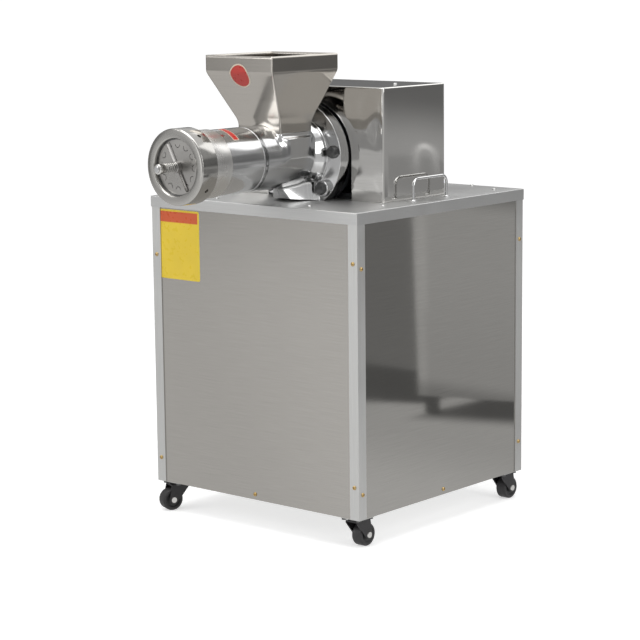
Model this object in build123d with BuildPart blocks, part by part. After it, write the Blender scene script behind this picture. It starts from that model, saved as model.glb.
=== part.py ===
from build123d import *
import os
from math import asin, cos, pi, radians, sin, tan

# Commercial pasta maker: a screw extruder on a wheeled sheet-metal cabinet.
# Millimetres. +Z is up, the floor is Z = 0 and the die end of the barrel looks to -Y.
# The origin lies on the floor, at the centre of the overall box.

# ---------------------------------------------------------------- driving dimensions
# Cabinet
TABLE_W = 600.0          # table top, left to right
TABLE_D = 595.0          # table top, front to back
PANEL_H = 655.0          # lower edge of the panels to the table's upper face
CASTER_H = 68.0          # floor to the lower edge of the panels
TABLE_T = 1.5            # table sheet
TABLE_R = 2.0            # rounding of the table's upper edge
LIP_H = 25.0             # folded lip of the table top
POST_W = 25.0            # corner angle, width of each leg
POST_T = 2.0             # corner angle, thickness
PANEL_T = 1.2            # panel sheet
PAN_T = 3.0              # floor of the base pan
PAN_WALL_T = 2.0         # upturned edge of the base pan
PAN_WALL_H = 26.0        # height of that edge
RAIL_W = 40.0            # channel under the table, width
RAIL_H = 22.0            # channel under the table, height
RAIL_T = 3.0             # channel under the table, thickness

# Sheet-metal screws
SCREW_R = 2.4            # shank
SCREW_PLAY = 0.2         # hole radius over the shank radius
SCREW_HEAD_R = 4.6
SCREW_HEAD_H = 2.8
SCREW_L = 12.0           # under the head
HEAD_TAPER = 20.0        # slope of pan heads and rivet heads
# Post screws of each side, (left, right) as seen from outside
SCREW_DROPS = {          # below the table
    "front": (132.0, 107.0),
    "right": (118.0, 114.0),
    "rear": (118.0, 118.0),
    "left": (118.0, 118.0),
}
SCREW_RISES = {          # above the panels' lower edge
    "front": (55.0, 71.0),
    "right": (55.0, 70.0),
    "rear": (60.0, 60.0),
    "left": (60.0, 60.0),
}
SCREW_MID_RISE = 12.0    # middle screws, above the panels' lower edge
# Table screws, (from the side edge, from the front or rear edge), mirrored left to right
TABLE_SCREWS_FRONT = ((166.0, 41.5), (39.0, 133.5))
TABLE_SCREWS_REAR = ((43.0, 55.5), (136.0, 13.5))

# Extruder: everything on the barrel's axis
AXIS_X = 17.0            # axis, right of the cabinet's centre
AXIS_H = 99.0            # axis, above the table
FLANGE_REACH = 122.0     # cabinet centre to the flange's rear face
FLANGE_R = 117.5
FLANGE_T = 30.0
FLANGE_DROP = 4.0        # centre of the flange and of its bolts, below the axis
HUB_R = 80.0             # raised hub on the flange's face
HUB_L = 26.0
HUB_RIM_L = 10.0         # straight part of the hub, the rest is a cone
BARREL_R = 70.0
BARREL_L = 368.0         # flange face to the die seat
BORE_R = 51.0
COLLAR_R = 72.0          # satin collar behind the ring nut
COLLAR_L = 52.0
NECK_L = 25.0            # threaded end that the ring nut sits on
GROOVE_W = 4.0
GROOVE_DEEP = 1.4
GROOVE_GAP = 13.0        # between the two grooves
GROOVE_Y = 170.0         # flange face to the first groove
THROAT_W = 140.0         # as wide as the barrel
THROAT_D = 106.0
THROAT_H = 42.0          # above the axis
THROAT_Y = 79.0          # flange face to the throat's centre
THROAT_R = 24.0          # corners of the throat
THROAT_OPEN_W = 100.0
THROAT_OPEN_D = 78.0
THROAT_FILLET_H = 12.0   # hollow fillet from the throat up to the hopper's neck
THROAT_FILLET_STEPS = 3
FOOT_W = 116.0           # pedestal under the barrel, at the flange
FOOT_FRONT_W = 34.0      # its front, lower edge
FOOT_CREST_W = 18.0      # its front, upper edge
FOOT_D = 79.0            # in front of the flange's face
FOOT_RAKE = 15.0         # how far its front leans back towards its lower edge
FOOT_TOP = 36.0          # upper edge, above the table
FOOT_LIFT = 8.0          # lower edge of its front, above the table

# Flange bolts
BOLT_R = 8.0             # M16 shank
BOLT_HEAD_AF = 24.0
BOLT_HEAD_H = 10.0
BOLT_CIRCLE_R = 99.0
BOLT_ANGLES = (7.0, 90.0, 173.0)     # from +X towards +Z
EAR_ANGLES = (-43.5, 223.5)          # lower bolts, on raised ears
BOLT_PLAY = 0.3
BOLT_DEPTH = 24.0        # hole into the gearbox
BOLT_END_GAP = 2.0       # shank's end to the hole's end
EAR_R = 18.0
EAR_L = 12.0

# Die, ring nut and cutter
DIE_T = 12.0
DIE_R = 69.5
DIE_BORE_PLAY = 0.05
DIE_SLOTS = 12           # shell slots in the ring
DIE_SLOT_PCR = 47.0
DIE_SLOT_R = 6.5
DIE_SLOT_W = 1.6
DIE_SLOT_ARC = 170.0
RING_R = 80.0
RING_OPEN_R = 59.5
RING_FRONT_T = 10.0      # front wall of the ring nut
RING_EDGE = 2.0          # bevels on its front
RING_TAIL_EDGE = 1.0     # bevel on its rear
RING_GAP = 0.1           # front wall to the die
RING_HOLE_R = 4.5        # radial spanner holes
RING_HOLE_DEEP = 7.0
RING_HOLE_Y = 25.8       # behind its front face
RING_HOLES = 4
RING_HOLE_ANGLE = 54.0
THREAD_PLAY = 0.3
SHAFT_R = 6.5            # cutter spindle
SHAFT_STUB = 3.0         # spindle past the cutter's nut
SHAFT_EDGE = 1.0         # bevel on its tip
BLADE_R = 56.0
BLADE_W = 8.0
BLADE_T = 2.0
BLADE_ANGLE = 118.0      # at rest, from +X towards +Z
BLADE_HUB_R = 12.0
BLADE_HUB_L = 12.0
BLADE_BORE_PLAY = 0.08
BLADE_GAP = 0.3          # blade to die
SPRING_L = 31.0
SPRING_R = 9.6           # to the wire's centre
SPRING_WIRE_R = 1.3
SPRING_TURNS = 5.0
SPRING_END_GAP = 0.2     # wire to the hub and to the nut
CUTTER_NUT_R = 10.5
CUTTER_NUT_L = 17.0
CUTTER_NUT_EDGE = 1.0

# Feed screw
FLIGHT_R = 49.5
FLIGHT_PITCH = 60.0
FLIGHT_T = 7.0
ROOT_R = 27.0
JOURNAL_R = 25.0
JOURNAL_PLAY = 0.06
NOSE_L = 22.0            # cone at the die end
NOSE_TIP_R = 9.5
NOSE_GAP = 1.0           # cone to the die
FLIGHT_END_GAP = 8.0     # flight to the flange
TONGUE_W = 12.0          # tongue and groove between the screw and its drive
TONGUE_L = 10.0

# Hopper
HOPPER_W = 191.0         # rim, left to right
HOPPER_D = 213.0         # rim, front to back
HOPPER_TOP = 319.0       # rim, above the table
HOPPER_BAND = 36.0       # vertical band below the rim
HOPPER_SHEET = 1.5
HOPPER_NECK_W = 122.0
HOPPER_NECK_D = 102.0
HOPPER_NECK_TOP = 176.0  # where funnel and neck would meet, above the table
HOPPER_BEND = 18.0       # reach of the rounded bend above and below that
HOPPER_BEND_STEPS = 4
HOPPER_NECK_R = 9.0      # corners of the neck
HOPPER_RIM_R = 3.0       # corners of the rim
HOPPER_Y = 85.5          # flange face to the rim's centre
HOPPER_PLAY = 0.2        # hopper to the barrel's round

# Gear cover
COVER_W = 422.0
COVER_D = 214.5
COVER_H = 247.0
COVER_T = 1.5
COVER_FRONT_REACH = 120.0    # cabinet centre to the cover's front face
COVER_SLOT_GAP = 3.0     # slot to the flange
COVER_SCREW_REACH = 147.0    # from the axis, left and right
COVER_SCREW_Y = 121.0        # behind the cover's front face
BRACKET_T = 3.0
BRACKET_LAP = 26.0       # overlap on the gearbox's rear wall
BRACKET_EDGE = 12.0      # past its screws

# Handle on the table
HANDLE_INSET = 47.0      # from the table's right edge
HANDLE_SPAN = 118.0
HANDLE_Y = 10.0          # middle of the handle, behind the cabinet's centre
HANDLE_H = 51.0
HANDLE_R = 3.2
HANDLE_BEND_R = 17.0
HANDLE_COLLAR_R = 7.0
HANDLE_COLLAR_H = 3.0
HANDLE_COLLAR_TAPER = 15.0
HANDLE_TAIL = 8.0        # bar below the table sheet
HANDLE_NUT_AF = 10.0
HANDLE_NUT_H = 5.0

# Gearbox
MODULE = 2.5
GEAR_TEETH = 64
PINION_TEETH = 16
GEAR_W = 30.0
GEAR_BACKLASH = 0.4
DEDENDUM = 1.25          # of the module
FLANK_WIDER = 0.45       # of the module, half tooth at its root against the pitch circle
FLANK_SLIMMER = 0.4      # of the module, half tooth at its tip
TOOTH_LAP = 1.0          # tooth into the gear's rim
GEARBOX_WALL = 9.0
GEARBOX_D = 92.0         # round nose's root to the rear face
GEARBOX_NOSE_L = 20.0    # round nose through the cover's slot
GEARBOX_NOSE_R = 112.0
GEARBOX_FOOT_H = 12.0
GEARBOX_FOOT_W = 24.0
GEARBOX_ROOM = 6.0       # inside wall to the gear
OUT_SHAFT_R = 20.0
IN_SHAFT_R = 14.0
SHAFT_PLAY = 0.05
SHAFT_END_GAP = 1.0      # shaft's end to its blind seat
SEAT_FLOOR = 2.0         # wall left behind a blind seat
LID_BOSS_R = 26.0        # boss around the input shaft
LID_BOSS_L = 8.0
FEET_BOLT_R = 6.0
FEET_BOLT_END = 14.0     # shank below the rail's sheet
FEET_HEAD_AF = 18.0
FEET_HEAD_H = 7.5
FEET_NUT_H = 10.0
FEET_BOLT_Y = 24.0       # either side of the gearbox's middle

# Belt drive
DRIVEN_PULLEY_R = 90.0
MOTOR_PULLEY_R = 42.0
PULLEY_W = 40.0
PULLEY_Y = 44.0          # gearbox's rear face to the pulley's front face
GROOVE_PITCH = 17.0
BELT_TOP_W = 11.0
BELT_BOTTOM_W = 7.0
BELT_H = 8.0
BELT_PLAY = 0.5
PULLEY_GROOVE_DEEP = 10.0
PULLEY_GROOVE_PLAY = 0.8 # each side of the belt
PULLEY_HOLES = 5
PULLEY_HOLE_R = 15.0
PULLEY_HOLE_PCR = 50.0
BELT_SLOT_MARGIN = 9.0

# Motor
MOTOR_AXIS_RISE = 142.0  # above the panels' lower edge
MOTOR_R = 84.0
MOTOR_L = 210.0
MOTOR_FINS = 20
MOTOR_FIN_T = 3.0
MOTOR_FIN_H = 7.0
MOTOR_SHIELD_L = 14.0
MOTOR_SHAFT_R = 12.0
MOTOR_SHAFT_GAP = 22.0   # end shield to the pulley
FAN_COVER_L = 50.0
FAN_COVER_T = 1.5
FAN_COVER_STEP = 2.0     # smaller than the motor's shields
FAN_SLOTS = 12
FAN_SLOT_L = 44.0
FAN_SLOT_W = 6.0
FAN_SLOT_PCR = 45.0
FAN_HUB_R = 22.0
FAN_BLADES = 6
FAN_R = 62.0
FAN_BLADE_T = 3.0
FAN_L = 18.0
FAN_GAP = 8.0            # motor's rear shield to the fan
TERMINAL_W = 84.0
TERMINAL_D = 92.0
TERMINAL_H = 40.0
TERMINAL_R = 6.0
MOTOR_FOOT_W = 170.0
MOTOR_FOOT_T = 12.0
MOTOR_FOOT_D = 30.0
MOTOR_FOOT_INSET = 40.0  # shield's face to the foot's middle
MOTOR_RAIL_W = 40.0
MOTOR_RAIL_H = 48.0
MOTOR_BOLT_R = 5.0
MOTOR_BOLT_INSET = 14.0  # from the foot's end
MOTOR_HEAD_AF = 16.0
MOTOR_HEAD_H = 6.5
MOTOR_BOLT_END = 20.0    # shank below the foot

# Casters
CASTER_INSET_X = 34.0    # swivel axis, from the table's side edge
CASTER_INSET_Y = 34.5    # swivel axis, from the table's front or rear edge
CASTER_TRAIL = 20.0
CASTER_ANGLES = {"front_left": 160.0, "front_right": 0.0, "rear_left": 12.0, "rear_right": 0.0}
WHEEL_R = 25.0
WHEEL_W = 26.0
WHEEL_EDGE_R = 3.0
WHEEL_HUB_R = 8.0
FORK_T = 2.5
FORK_PLAY = 1.2          # wheel to fork leg
FORK_LEG_R = 11.0
FORK_SHIFT = 2.0         # fork's top behind the swivel axis
CROWN_R = 19.5
CROWN_H = 5.0
CASTER_PLATE_W = 54.0
CASTER_PLATE_D = 52.0
CASTER_PLATE_T = 2.5
CASTER_PLATE_R = 4.0
CASTER_GAP = 0.4         # between the plate and the turning crown
KINGPIN_R = 5.0
KINGPIN_HEAD_R = 8.0
KINGPIN_HEAD_H = 2.0
AXLE_R = 4.0
AXLE_HEAD_R = 7.0
AXLE_HEAD_H = 1.6
PIN_PLAY = 0.05
CASTER_BOLT_R = 3.0
CASTER_BOLT_X = 20.0
CASTER_BOLT_Y = 20.0
CASTER_HEAD_AF = 10.0
CASTER_HEAD_H = 4.0
CASTER_NUT_H = 5.0
CASTER_BOLT_END = 3.0    # shank past its nut

# Start and stop buttons on the left panel, cable gland and louvres on the rear panel
BUTTON_R = 9.0
BUTTON_PLAY = 0.3
BUTTON_INSET = 97.5      # middle of the pair, from the table's front edge
BUTTON_DROP = 110.0      # below the table
BUTTON_PITCH = 45.0
BUTTON_PROUD = 0.8       # past its bezel
BUTTON_TRAVEL = 3.0
BUTTON_WELL = 12.0       # depth of its seat behind the panel's face
BEZEL_R = 14.5
BEZEL_T = 2.2
BEZEL_BODY_R = 11.0
BEZEL_BODY_L = 34.0
GLAND_X = 190.0
GLAND_RISE = 90.0        # above the panels' lower edge
GLAND_THREAD_R = 10.0
GLAND_AF = 24.0
GLAND_CAP_R = 11.0
GLAND_HEX_L = 7.0
GLAND_CAP_L = 13.0
GLAND_BORE_R = 5.5
GLAND_TAIL_L = 8.0
GLAND_NUT_H = 5.0
LOUVRE_W = 90.0
LOUVRE_H = 6.0
LOUVRE_PITCH = 16.0
LOUVRE_ROWS = 7
LOUVRE_X = 110.0
LOUVRE_RISE = 420.0

SEAT_GAP = 0.3           # between pieces of two bodies that move past each other
OVERCUT = 1.0            # cuts that run past a face

# ---------------------------------------------------------------- places worked out
TABLE_Z = CASTER_H + PANEL_H
UNDER_TABLE_Z = TABLE_Z - TABLE_T
POST_X = TABLE_W / 2 - TABLE_T               # outer face of the corner angles
PANEL_X = POST_X - POST_T                    # outer face of the side panels
PAN_X = PANEL_X - PANEL_T                    # inner face of the side panels
GLAND_REACH = TABLE_D / 2 - TABLE_T - POST_T + GLAND_HEX_L + GLAND_CAP_L

BLADE_FACE_REACH = FLANGE_REACH + FLANGE_T + BARREL_L + DIE_T
TIP_REACH = BLADE_FACE_REACH + BLADE_GAP + BLADE_HUB_L + SPRING_L + CUTTER_NUT_L + SHAFT_STUB
CAB_Y = (TIP_REACH - GLAND_REACH) / 2        # cabinet's centre behind the origin
POST_Y = TABLE_D / 2 - TABLE_T               # the same three faces, front and back
PANEL_Y = POST_Y - POST_T
PAN_Y = PANEL_Y - PANEL_T

AXIS_Z = TABLE_Z + AXIS_H
MOUTH_Y = CAB_Y - FLANGE_REACH               # flange's rear face on the gearbox
FLANGE_Y = MOUTH_Y - FLANGE_T                # flange's front face
SEAT_Y = FLANGE_Y - BARREL_L                 # die seat, front end of the barrel
DIE_Y = SEAT_Y - DIE_T                       # front face of the die
BLADE_Y = DIE_Y - BLADE_GAP                  # rear face of the blade
SPRING_Y = BLADE_Y - BLADE_HUB_L
CUTTER_NUT_Y = SPRING_Y - SPRING_L
TIP_Y = CUTTER_NUT_Y - CUTTER_NUT_L - SHAFT_STUB
RING_Y = DIE_Y - RING_FRONT_T                # front face of the ring nut
COLLAR_Y = SEAT_Y + NECK_L                   # front face of the satin collar
HOPPER_CY = FLANGE_Y - HOPPER_Y
THROAT_CY = FLANGE_Y - THROAT_Y
THROAT_TOP_Z = AXIS_Z + THROAT_H
HOPPER_FOOT_Z = THROAT_TOP_Z + THROAT_FILLET_H
FLANGE_Z = AXIS_Z - FLANGE_DROP              # centre of the flange
HOPPER_BAND_Z = TABLE_Z + HOPPER_TOP - HOPPER_BAND
HOPPER_NECK_Z = TABLE_Z + HOPPER_NECK_TOP
COVER_FRONT_Y = CAB_Y - COVER_FRONT_REACH

PITCH_R = MODULE * GEAR_TEETH / 2
PINION_PITCH_R = MODULE * PINION_TEETH / 2
IN_X = AXIS_X - PITCH_R - PINION_PITCH_R     # input shaft, at the height of the barrel's axis
BOX_Y = MOUTH_Y + GEARBOX_NOSE_L             # gearbox body, front and rear face
BOX_REAR_Y = BOX_Y + GEARBOX_D
BOX_MID_Y = (BOX_Y + BOX_REAR_Y) / 2
BOX_X0 = IN_X - PINION_PITCH_R - MODULE - GEARBOX_ROOM - GEARBOX_WALL
BOX_X1 = AXIS_X + PITCH_R + MODULE + GEARBOX_ROOM + GEARBOX_WALL
PULLEY_FRONT_Y = BOX_REAR_Y + PULLEY_Y
MOTOR_X = IN_X
MOTOR_Z = CASTER_H + MOTOR_AXIS_RISE
MOTOR_FRONT_Y = PULLEY_FRONT_Y - MOTOR_SHAFT_GAP

CASTER_X = TABLE_W / 2 - CASTER_INSET_X      # swivel axes, from the cabinet's centre
CASTER_Y = TABLE_D / 2 - CASTER_INSET_Y
LEG_X = WHEEL_W / 2 + FORK_PLAY              # inner face of a caster's fork leg
CROWN_Z = CASTER_H - CASTER_PLATE_T - CASTER_GAP


def front_plane(y, x=0.0, z=0.0):
    """Upright plane seen from the front: +X to the right, +Z up, normal to the front (-Y)."""
    return Plane(origin=(x, y, z), x_dir=(1, 0, 0), z_dir=(0, -1, 0))


def side_plane(x, y=0.0, z=0.0):
    """Upright plane across X: +Y to the right, +Z up, normal to the right (+X)."""
    return Plane(origin=(x, y, z), x_dir=(0, 1, 0), z_dir=(1, 0, 0))


def axis_y(x, z):
    """Line along +Y through (x, z)."""
    return Axis((x, 0, z), (0, 1, 0))


def write(piece, name):
    """Label a finished piece and write its STEP file."""
    piece.part.label = name
    export_step(piece.part, f"parts/{name}.step")


os.makedirs("parts", exist_ok=True)


# ================================================================ cabinet
# Outer faces of the corner angles, seen from outside: u to the right, +Z up, normal outwards.
SIDES = {
    "front": Plane(origin=(0, CAB_Y - POST_Y, 0), x_dir=(1, 0, 0), z_dir=(0, -1, 0)),
    "right": Plane(origin=(POST_X, CAB_Y, 0), x_dir=(0, 1, 0), z_dir=(1, 0, 0)),
    "rear": Plane(origin=(0, CAB_Y + POST_Y, 0), x_dir=(-1, 0, 0), z_dir=(0, 1, 0)),
    "left": Plane(origin=(-POST_X, CAB_Y, 0), x_dir=(0, -1, 0), z_dir=(-1, 0, 0)),
}
HALF_WIDTHS = {"front": POST_X, "right": POST_Y, "rear": POST_X, "left": POST_Y}
CORNERS = {"front_left": (-1, -1), "front_right": (1, -1), "rear_left": (-1, 1), "rear_right": (1, 1)}


def screw_spots(side):
    """The five screws of one side, in that side's plane."""
    u = HALF_WIDTHS[side] - POST_W / 2
    drops = SCREW_DROPS[side]
    rises = SCREW_RISES[side]
    return [
        (-u, TABLE_Z - drops[0]),
        (u, TABLE_Z - drops[1]),
        (-u, CASTER_H + rises[0]),
        (u, CASTER_H + rises[1]),
        (0, CASTER_H + SCREW_MID_RISE),
    ]


def screw_holes(side):
    """Clearance holes for one side's screws."""
    with BuildSketch(SIDES[side]) as holes:
        with Locations(*screw_spots(side)):
            Circle(SCREW_R + SCREW_PLAY)
    return holes.sketch


def hexagon_r(across_flats):
    """Corner radius of a hexagon of a given width across its flats."""
    return across_flats / 2 / cos(radians(30))


def caster_frame(corner, height=0.0):
    """Frame of one caster: origin on its swivel axis, +Y along its trail."""
    sx, sy = CORNERS[corner]
    turn = radians(CASTER_ANGLES[corner])
    origin = (sx * CASTER_X, CAB_Y + sy * CASTER_Y, height)
    return Plane(origin=origin, x_dir=(cos(turn), sin(turn), 0), z_dir=(0, 0, 1))


def caster_side(corner):
    """Upright plane through a caster's swivel axis: x along its trail, +Z up, normal along its axle."""
    frame = caster_frame(corner)
    return Plane(origin=frame.origin, x_dir=frame.y_dir, z_dir=frame.x_dir)


CASTER_BOLTS = [
    (sx * CASTER_X + dx * CASTER_BOLT_X, CAB_Y + sy * CASTER_Y + dy * CASTER_BOLT_Y)
    for sx, sy in CORNERS.values()
    for dx in (-1, 1)
    for dy in (-1, 1)
]

# Base pan: floor with four upturned edges, inside the panels
with BuildPart() as base_pan:
    with BuildSketch(Plane.XY.offset(CASTER_H)):
        with Locations((0, CAB_Y)):
            Rectangle(2 * PAN_X, 2 * PAN_Y)
    extrude(amount=PAN_WALL_H)
    with BuildSketch(Plane.XY.offset(CASTER_H + PAN_T)):
        with Locations((0, CAB_Y)):
            Rectangle(2 * (PAN_X - PAN_WALL_T), 2 * (PAN_Y - PAN_WALL_T))
    extrude(amount=PAN_WALL_H, mode=Mode.SUBTRACT)
    with BuildSketch(Plane.XY.offset(CASTER_H)):
        with Locations(*CASTER_BOLTS):
            Circle(CASTER_BOLT_R + SCREW_PLAY)
    extrude(amount=PAN_T, mode=Mode.SUBTRACT)
    for side in SIDES:
        extrude(screw_holes(side), amount=-SCREW_L, mode=Mode.SUBTRACT)
write(base_pan, "base_pan")

# Corner angles
for corner, (sx, sy) in CORNERS.items():
    outline = [(0, 0), (POST_W, 0), (POST_W, POST_T), (POST_T, POST_T), (POST_T, POST_W), (0, POST_W)]
    with BuildPart() as corner_post:
        with BuildSketch(Plane.XY.offset(CASTER_H)):
            with BuildLine():
                Polyline(*[(sx * (POST_X - a), CAB_Y + sy * (POST_Y - b)) for a, b in outline], close=True)
            make_face()
        extrude(amount=UNDER_TABLE_Z - CASTER_H)
        for side in SIDES:
            extrude(screw_holes(side), amount=-SCREW_L, mode=Mode.SUBTRACT)
    write(corner_post, f"corner_post_{corner}")

# Table top: one folded sheet with a lip all round
BELT_Y = PULLEY_FRONT_Y + PULLEY_W / 2
BELT_SPAN = AXIS_Z - MOTOR_Z
BELT_TILT = asin((DRIVEN_PULLEY_R - MOTOR_PULLEY_R) / BELT_SPAN)
BELT_SLOT_W = 2 * (DRIVEN_PULLEY_R / cos(BELT_TILT) - AXIS_H * tan(BELT_TILT) + BELT_SLOT_MARGIN)
GEARBOX_FEET = [
    (x, BOX_MID_Y + dy * FEET_BOLT_Y)
    for x in (BOX_X0 - GEARBOX_FOOT_W / 2, BOX_X1 + GEARBOX_FOOT_W / 2)
    for dy in (-1, 1)
]
TABLE_SCREWS = [
    (side * (TABLE_W / 2 - x), CAB_Y + end * (TABLE_D / 2 - y))
    for end, spots in ((-1, TABLE_SCREWS_FRONT), (1, TABLE_SCREWS_REAR))
    for x, y in spots
    for side in (-1, 1)
]
HANDLE_X = TABLE_W / 2 - HANDLE_INSET
HANDLE_FEET = [(HANDLE_X, CAB_Y + HANDLE_Y + end * HANDLE_SPAN / 2) for end in (-1, 1)]
with BuildPart() as table_top:
    with BuildSketch(Plane.XY.offset(TABLE_Z - LIP_H)):
        with Locations((0, CAB_Y)):
            Rectangle(TABLE_W, TABLE_D)
    extrude(amount=LIP_H)
    fillet(table_top.faces().sort_by(Axis.Z)[-1].edges(), TABLE_R)
    with BuildSketch(Plane.XY.offset(TABLE_Z - LIP_H)):
        with Locations((0, CAB_Y)):
            Rectangle(2 * POST_X, 2 * POST_Y)
    extrude(amount=LIP_H - TABLE_T, mode=Mode.SUBTRACT)
    with BuildSketch(Plane.XY.offset(UNDER_TABLE_Z)):
        with Locations((IN_X, BELT_Y)):
            RectangleRounded(BELT_SLOT_W, PULLEY_W + 2 * BELT_SLOT_MARGIN, BELT_SLOT_MARGIN)
        with Locations(*GEARBOX_FEET):
            Circle(FEET_BOLT_R + SCREW_PLAY)
        with Locations(*TABLE_SCREWS):
            Circle(SCREW_R + SCREW_PLAY)
        with Locations(*HANDLE_FEET):
            Circle(HANDLE_R + SCREW_PLAY)
    extrude(amount=TABLE_T, mode=Mode.SUBTRACT)
write(table_top, "table_top")

# Two channels under the table, under the gearbox's feet
with BuildPart() as table_rails:
    for dy in (-1, 1):
        rail_y = BOX_MID_Y + dy * FEET_BOLT_Y
        with BuildSketch(side_plane(-PAN_X, rail_y, UNDER_TABLE_Z)):
            with Locations((0, -RAIL_H / 2)):
                Rectangle(RAIL_W, RAIL_H)
            with Locations((0, -(RAIL_H + RAIL_T) / 2)):
                Rectangle(RAIL_W - 2 * RAIL_T, RAIL_H - RAIL_T, mode=Mode.SUBTRACT)
        extrude(amount=2 * PAN_X)
    with BuildSketch(Plane.XY.offset(UNDER_TABLE_Z)):
        with Locations(*GEARBOX_FEET):
            Circle(FEET_BOLT_R + SCREW_PLAY)
    extrude(amount=-RAIL_T, mode=Mode.SUBTRACT)
    # Clearance for the handle's nuts
    with BuildSketch(Plane.XY.offset(UNDER_TABLE_Z)):
        with Locations(*HANDLE_FEET):
            Circle(hexagon_r(HANDLE_NUT_AF) + SCREW_PLAY)
    extrude(amount=-RAIL_H, mode=Mode.SUBTRACT)
write(table_rails, "table_rails")


# Panels: flat sheets behind the corner angles
def panel_blank(side, half_width):
    """Outline of one panel on its own outer face."""
    with BuildSketch(SIDES[side].offset(-POST_T)) as blank:
        with Locations((0, (CASTER_H + UNDER_TABLE_Z) / 2)):
            Rectangle(2 * half_width, UNDER_TABLE_Z - CASTER_H)
    return blank.sketch


with BuildPart() as front_panel:
    extrude(panel_blank("front", PANEL_X), amount=-PANEL_T)
    extrude(screw_holes("front"), amount=-SCREW_L, mode=Mode.SUBTRACT)
write(front_panel, "front_panel")

with BuildPart() as right_panel:
    extrude(panel_blank("right", PAN_Y), amount=-PANEL_T)
    extrude(screw_holes("right"), amount=-SCREW_L, mode=Mode.SUBTRACT)
write(right_panel, "right_panel")

BUTTON_MID = TABLE_D / 2 - BUTTON_INSET
BUTTONS = {
    "start": (BUTTON_MID - BUTTON_PITCH / 2, TABLE_Z - BUTTON_DROP),
    "stop": (BUTTON_MID + BUTTON_PITCH / 2, TABLE_Z - BUTTON_DROP),
}
with BuildPart() as left_panel:
    extrude(panel_blank("left", PAN_Y), amount=-PANEL_T)
    extrude(screw_holes("left"), amount=-SCREW_L, mode=Mode.SUBTRACT)
    with BuildSketch(SIDES["left"].offset(-POST_T)):
        with Locations(*BUTTONS.values()):
            Circle(BEZEL_BODY_R + SCREW_PLAY)
    extrude(amount=-PANEL_T, mode=Mode.SUBTRACT)
write(left_panel, "left_panel")

GLAND_SPOT = (-GLAND_X, CASTER_H + GLAND_RISE)
with BuildPart() as rear_panel:
    extrude(panel_blank("rear", PANEL_X), amount=-PANEL_T)
    extrude(screw_holes("rear"), amount=-SCREW_L, mode=Mode.SUBTRACT)
    with BuildSketch(SIDES["rear"].offset(-POST_T)):
        with Locations(GLAND_SPOT):
            Circle(GLAND_THREAD_R + SCREW_PLAY)
        for column in (-LOUVRE_X, LOUVRE_X):
            for row in range(LOUVRE_ROWS):
                with Locations((column, CASTER_H + LOUVRE_RISE + row * LOUVRE_PITCH)):
                    SlotOverall(LOUVRE_W, LOUVRE_H)
    extrude(amount=-PANEL_T, mode=Mode.SUBTRACT)
write(rear_panel, "rear_panel")

# Handle: a bent bar through the table, with a collar at each foot and nuts below
with BuildPart() as handle:
    with BuildLine(side_plane(HANDLE_X, CAB_Y + HANDLE_Y)):
        FilletPolyline(
            (-HANDLE_SPAN / 2, UNDER_TABLE_Z - HANDLE_TAIL),
            (-HANDLE_SPAN / 2, TABLE_Z + HANDLE_H - HANDLE_R),
            (HANDLE_SPAN / 2, TABLE_Z + HANDLE_H - HANDLE_R),
            (HANDLE_SPAN / 2, UNDER_TABLE_Z - HANDLE_TAIL),
            radius=HANDLE_BEND_R,
        )
    with BuildSketch(Plane.XY.offset(UNDER_TABLE_Z - HANDLE_TAIL)):
        with Locations(HANDLE_FEET[0]):
            Circle(HANDLE_R)
    sweep()
    with BuildSketch(Plane.XY.offset(TABLE_Z)):
        with Locations(*HANDLE_FEET):
            Circle(HANDLE_COLLAR_R)
    extrude(amount=HANDLE_COLLAR_H, taper=HANDLE_COLLAR_TAPER)
write(handle, "handle")

with BuildPart() as handle_nuts:
    with BuildSketch(Plane.XY.offset(UNDER_TABLE_Z)):
        with Locations(*HANDLE_FEET):
            RegularPolygon(hexagon_r(HANDLE_NUT_AF), 6)
            Circle(HANDLE_R + SCREW_PLAY, mode=Mode.SUBTRACT)
    extrude(amount=-HANDLE_NUT_H)
write(handle_nuts, "handle_nuts")

# ================================================================ casters
# Fixed plates, each with its kingpin riveted below the fork
with BuildPart() as caster_plates:
    for corner in CORNERS:
        sx, sy = CORNERS[corner]
        spot = (sx * CASTER_X, CAB_Y + sy * CASTER_Y)
        with BuildSketch(Plane.XY.offset(CASTER_H)):
            with Locations(spot):
                RectangleRounded(CASTER_PLATE_W, CASTER_PLATE_D, CASTER_PLATE_R)
                with GridLocations(2 * CASTER_BOLT_X, 2 * CASTER_BOLT_Y, 2, 2):
                    Circle(CASTER_BOLT_R + SCREW_PLAY, mode=Mode.SUBTRACT)
        extrude(amount=-CASTER_PLATE_T)
        with BuildSketch(Plane.XY.offset(CASTER_H - CASTER_PLATE_T)):
            with Locations(spot):
                Circle(KINGPIN_R)
        extrude(amount=-(CASTER_GAP + CROWN_H + FORK_T + CASTER_GAP))
        with BuildSketch(Plane.XY.offset(CROWN_Z - CROWN_H - FORK_T - CASTER_GAP)):
            with Locations(spot):
                Circle(KINGPIN_HEAD_R)
        extrude(amount=-KINGPIN_HEAD_H)
write(caster_plates, "caster_plates")

with BuildPart() as caster_bolts:
    with BuildSketch(Plane.XY.offset(CASTER_H - CASTER_PLATE_T)):
        with Locations(*CASTER_BOLTS):
            RegularPolygon(hexagon_r(CASTER_HEAD_AF), 6)
    extrude(amount=-CASTER_HEAD_H)
    with BuildSketch(Plane.XY.offset(CASTER_H - CASTER_PLATE_T)):
        with Locations(*CASTER_BOLTS):
            Circle(CASTER_BOLT_R)
    extrude(amount=CASTER_PLATE_T + PAN_T + CASTER_NUT_H + CASTER_BOLT_END)
    with BuildSketch(Plane.XY.offset(CASTER_H + PAN_T)):
        with Locations(*CASTER_BOLTS):
            RegularPolygon(hexagon_r(CASTER_HEAD_AF), 6)
    extrude(amount=CASTER_NUT_H)
write(caster_bolts, "caster_bolts")

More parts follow.
